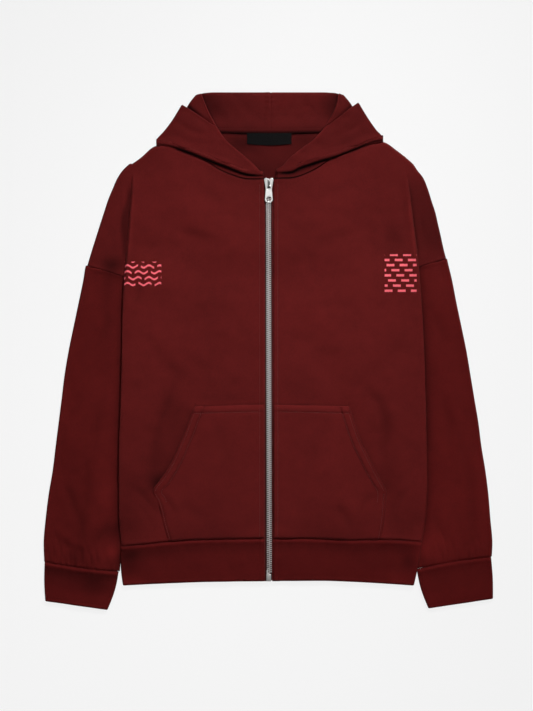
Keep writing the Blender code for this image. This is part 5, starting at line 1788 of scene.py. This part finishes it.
def make_pull(slider_top):
    half_top, half_end = PULL_HALF
    end_centre = (0, -PULL_LENGTH + half_end)
    outline = [(half_top - 0.6, PULL_BACK), (-half_top + 0.6, PULL_BACK), (-half_top, PULL_BACK - 0.6)]
    outline += arc(end_centre, half_end, 180, 360, 24) + [(half_top, PULL_BACK - 0.6)]
    half, depth = PULL_WINDOW
    window = [(-half, -PULL_BACK), (half, -PULL_BACK), (half, -depth + 1), (half - 1, -depth),
              (1 - half, -depth), (-half, -depth + 1)]
    hole = arc(end_centre, PULL_HOLE, 0, 345, 23)
    data = plate("pull", [outline, window, hole], -PULL_THICK / 2, PULL_THICK / 2, 0.35, PULL_METAL)
    obj = joined("zip_pull_metal", [data])
    turn = Matrix.Rotation(math.radians(PULL_TILT), 4, "X")
    axis = Vector((ZIP_X, SLIDER_Y + PULL_AXIS[0], slider_top + PULL_AXIS[1])) * MM
    obj.data.transform(Matrix.Translation(axis) @ turn)
    dress(obj, "zip_pull", slot="zip_metal", body="pull_tab")


def make_box():
    z = float(tape_z(ZIP_BOTTOM))
    low, high = z - TEETH_HEIGHT / 2, z + TEETH_HEIGHT / 2 + 0.6
    right = [(BOX_HALF - 1, 0), (BOX_HALF, 1)]
    right += [(BOX_HALF, BOX_LENGTH - 0.4), (BOX_HALF - 0.4, BOX_LENGTH)]
    outline = moved(mirrored(right), ZIP_X, ZIP_BOTTOM)
    pin = moved(PIN_OUTLINE, ZIP_X, ZIP_BOTTOM + BOX_LENGTH)
    body = plate("box", [outline], low, high, 0.5, BOX_METAL)
    stop = plate("pin", [pin], low + 0.6, high - 0.8, 0.4, BOX_METAL)
    dress(joined("zip_box_metal", [body, stop]), "zip_box", slot="zip_metal")


# ---- Floor, light and camera ----

CAMERA_LENS = 85.0
CAMERA_SENSOR = 36.0
VIEW_HEIGHT = 1137.6
VIEW_MIDDLE = (-3.6, -6.8)
VIEW_PLANE = 5.0  # height at which the frame shows VIEW_HEIGHT
FLOOR_HALF = 6.0  # metres
FLOOR_Z = -0.0002
WORLD_LIGHT = 0.30
LIGHTS = (  # name, place and aim in metres, width, power, spread in degrees
    ("key", (0.78, 2.45, 1.97), (-0.01, 0.02, 0.0), 0.6, 3.15, 25.0),
    ("overhead", (0.0, 0.25, 3.0), (0.0, 0.25, 0.0), 1.7, 11.0, 180.0),
)


def make_camera():
    data = bpy.data.cameras.new("camera")
    data.lens = CAMERA_LENS
    data.sensor_width = CAMERA_SENSOR
    data.clip_end = 50
    camera = placed("camera", data)
    away = VIEW_HEIGHT * CAMERA_LENS / CAMERA_SENSOR + VIEW_PLANE
    camera.location = Vector((*VIEW_MIDDLE, away)) * MM
    bpy.context.scene.camera = camera


def area_light(name, place, aim, size, power, spread):
    data = bpy.data.lights.new(name, "AREA")
    data.shape = "DISK"
    data.size = size
    data.energy = power
    data.spread = math.radians(spread)
    light = placed(name, data)
    light.location = place
    light.rotation_euler = (Vector(aim) - Vector(place)).to_track_quat("-Z", "Y").to_euler()


def make_studio():
    mesh = bmesh.new()
    bmesh.ops.create_grid(mesh, x_segments=1, y_segments=1, size=FLOOR_HALF)
    data = bpy.data.meshes.new("studio_floor")
    mesh.to_mesh(data)
    mesh.free()
    data.transform(Matrix.Translation((0, 0, FLOOR_Z)))
    data.materials.append(floor_finish())
    placed("studio_floor", data)
    world = bpy.data.worlds.new("studio")
    world.use_nodes = True
    world.node_tree.nodes["Background"].inputs["Color"].default_value = (1, 1, 1, 1)
    world.node_tree.nodes["Background"].inputs["Strength"].default_value = WORLD_LIGHT
    bpy.context.scene.world = world
    for light in LIGHTS:
        area_light(*light)
    bpy.context.scene.view_settings.view_transform = "Standard"


make_camera()
make_studio()
make_back()
make_sleeves()
make_cuffs()
make_hem()
make_fronts()
make_hoods()
make_trim()
make_pockets()
PATHS = path_tree()
make_teeth(PATHS)
make_stitches(PATHS)
PULL_TOP = make_slider()
make_pull(PULL_TOP)
make_box()

for side in SIDES:
    for material_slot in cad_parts["zip_tape_" + side].material_slots:
        material_slot.material = TAPE
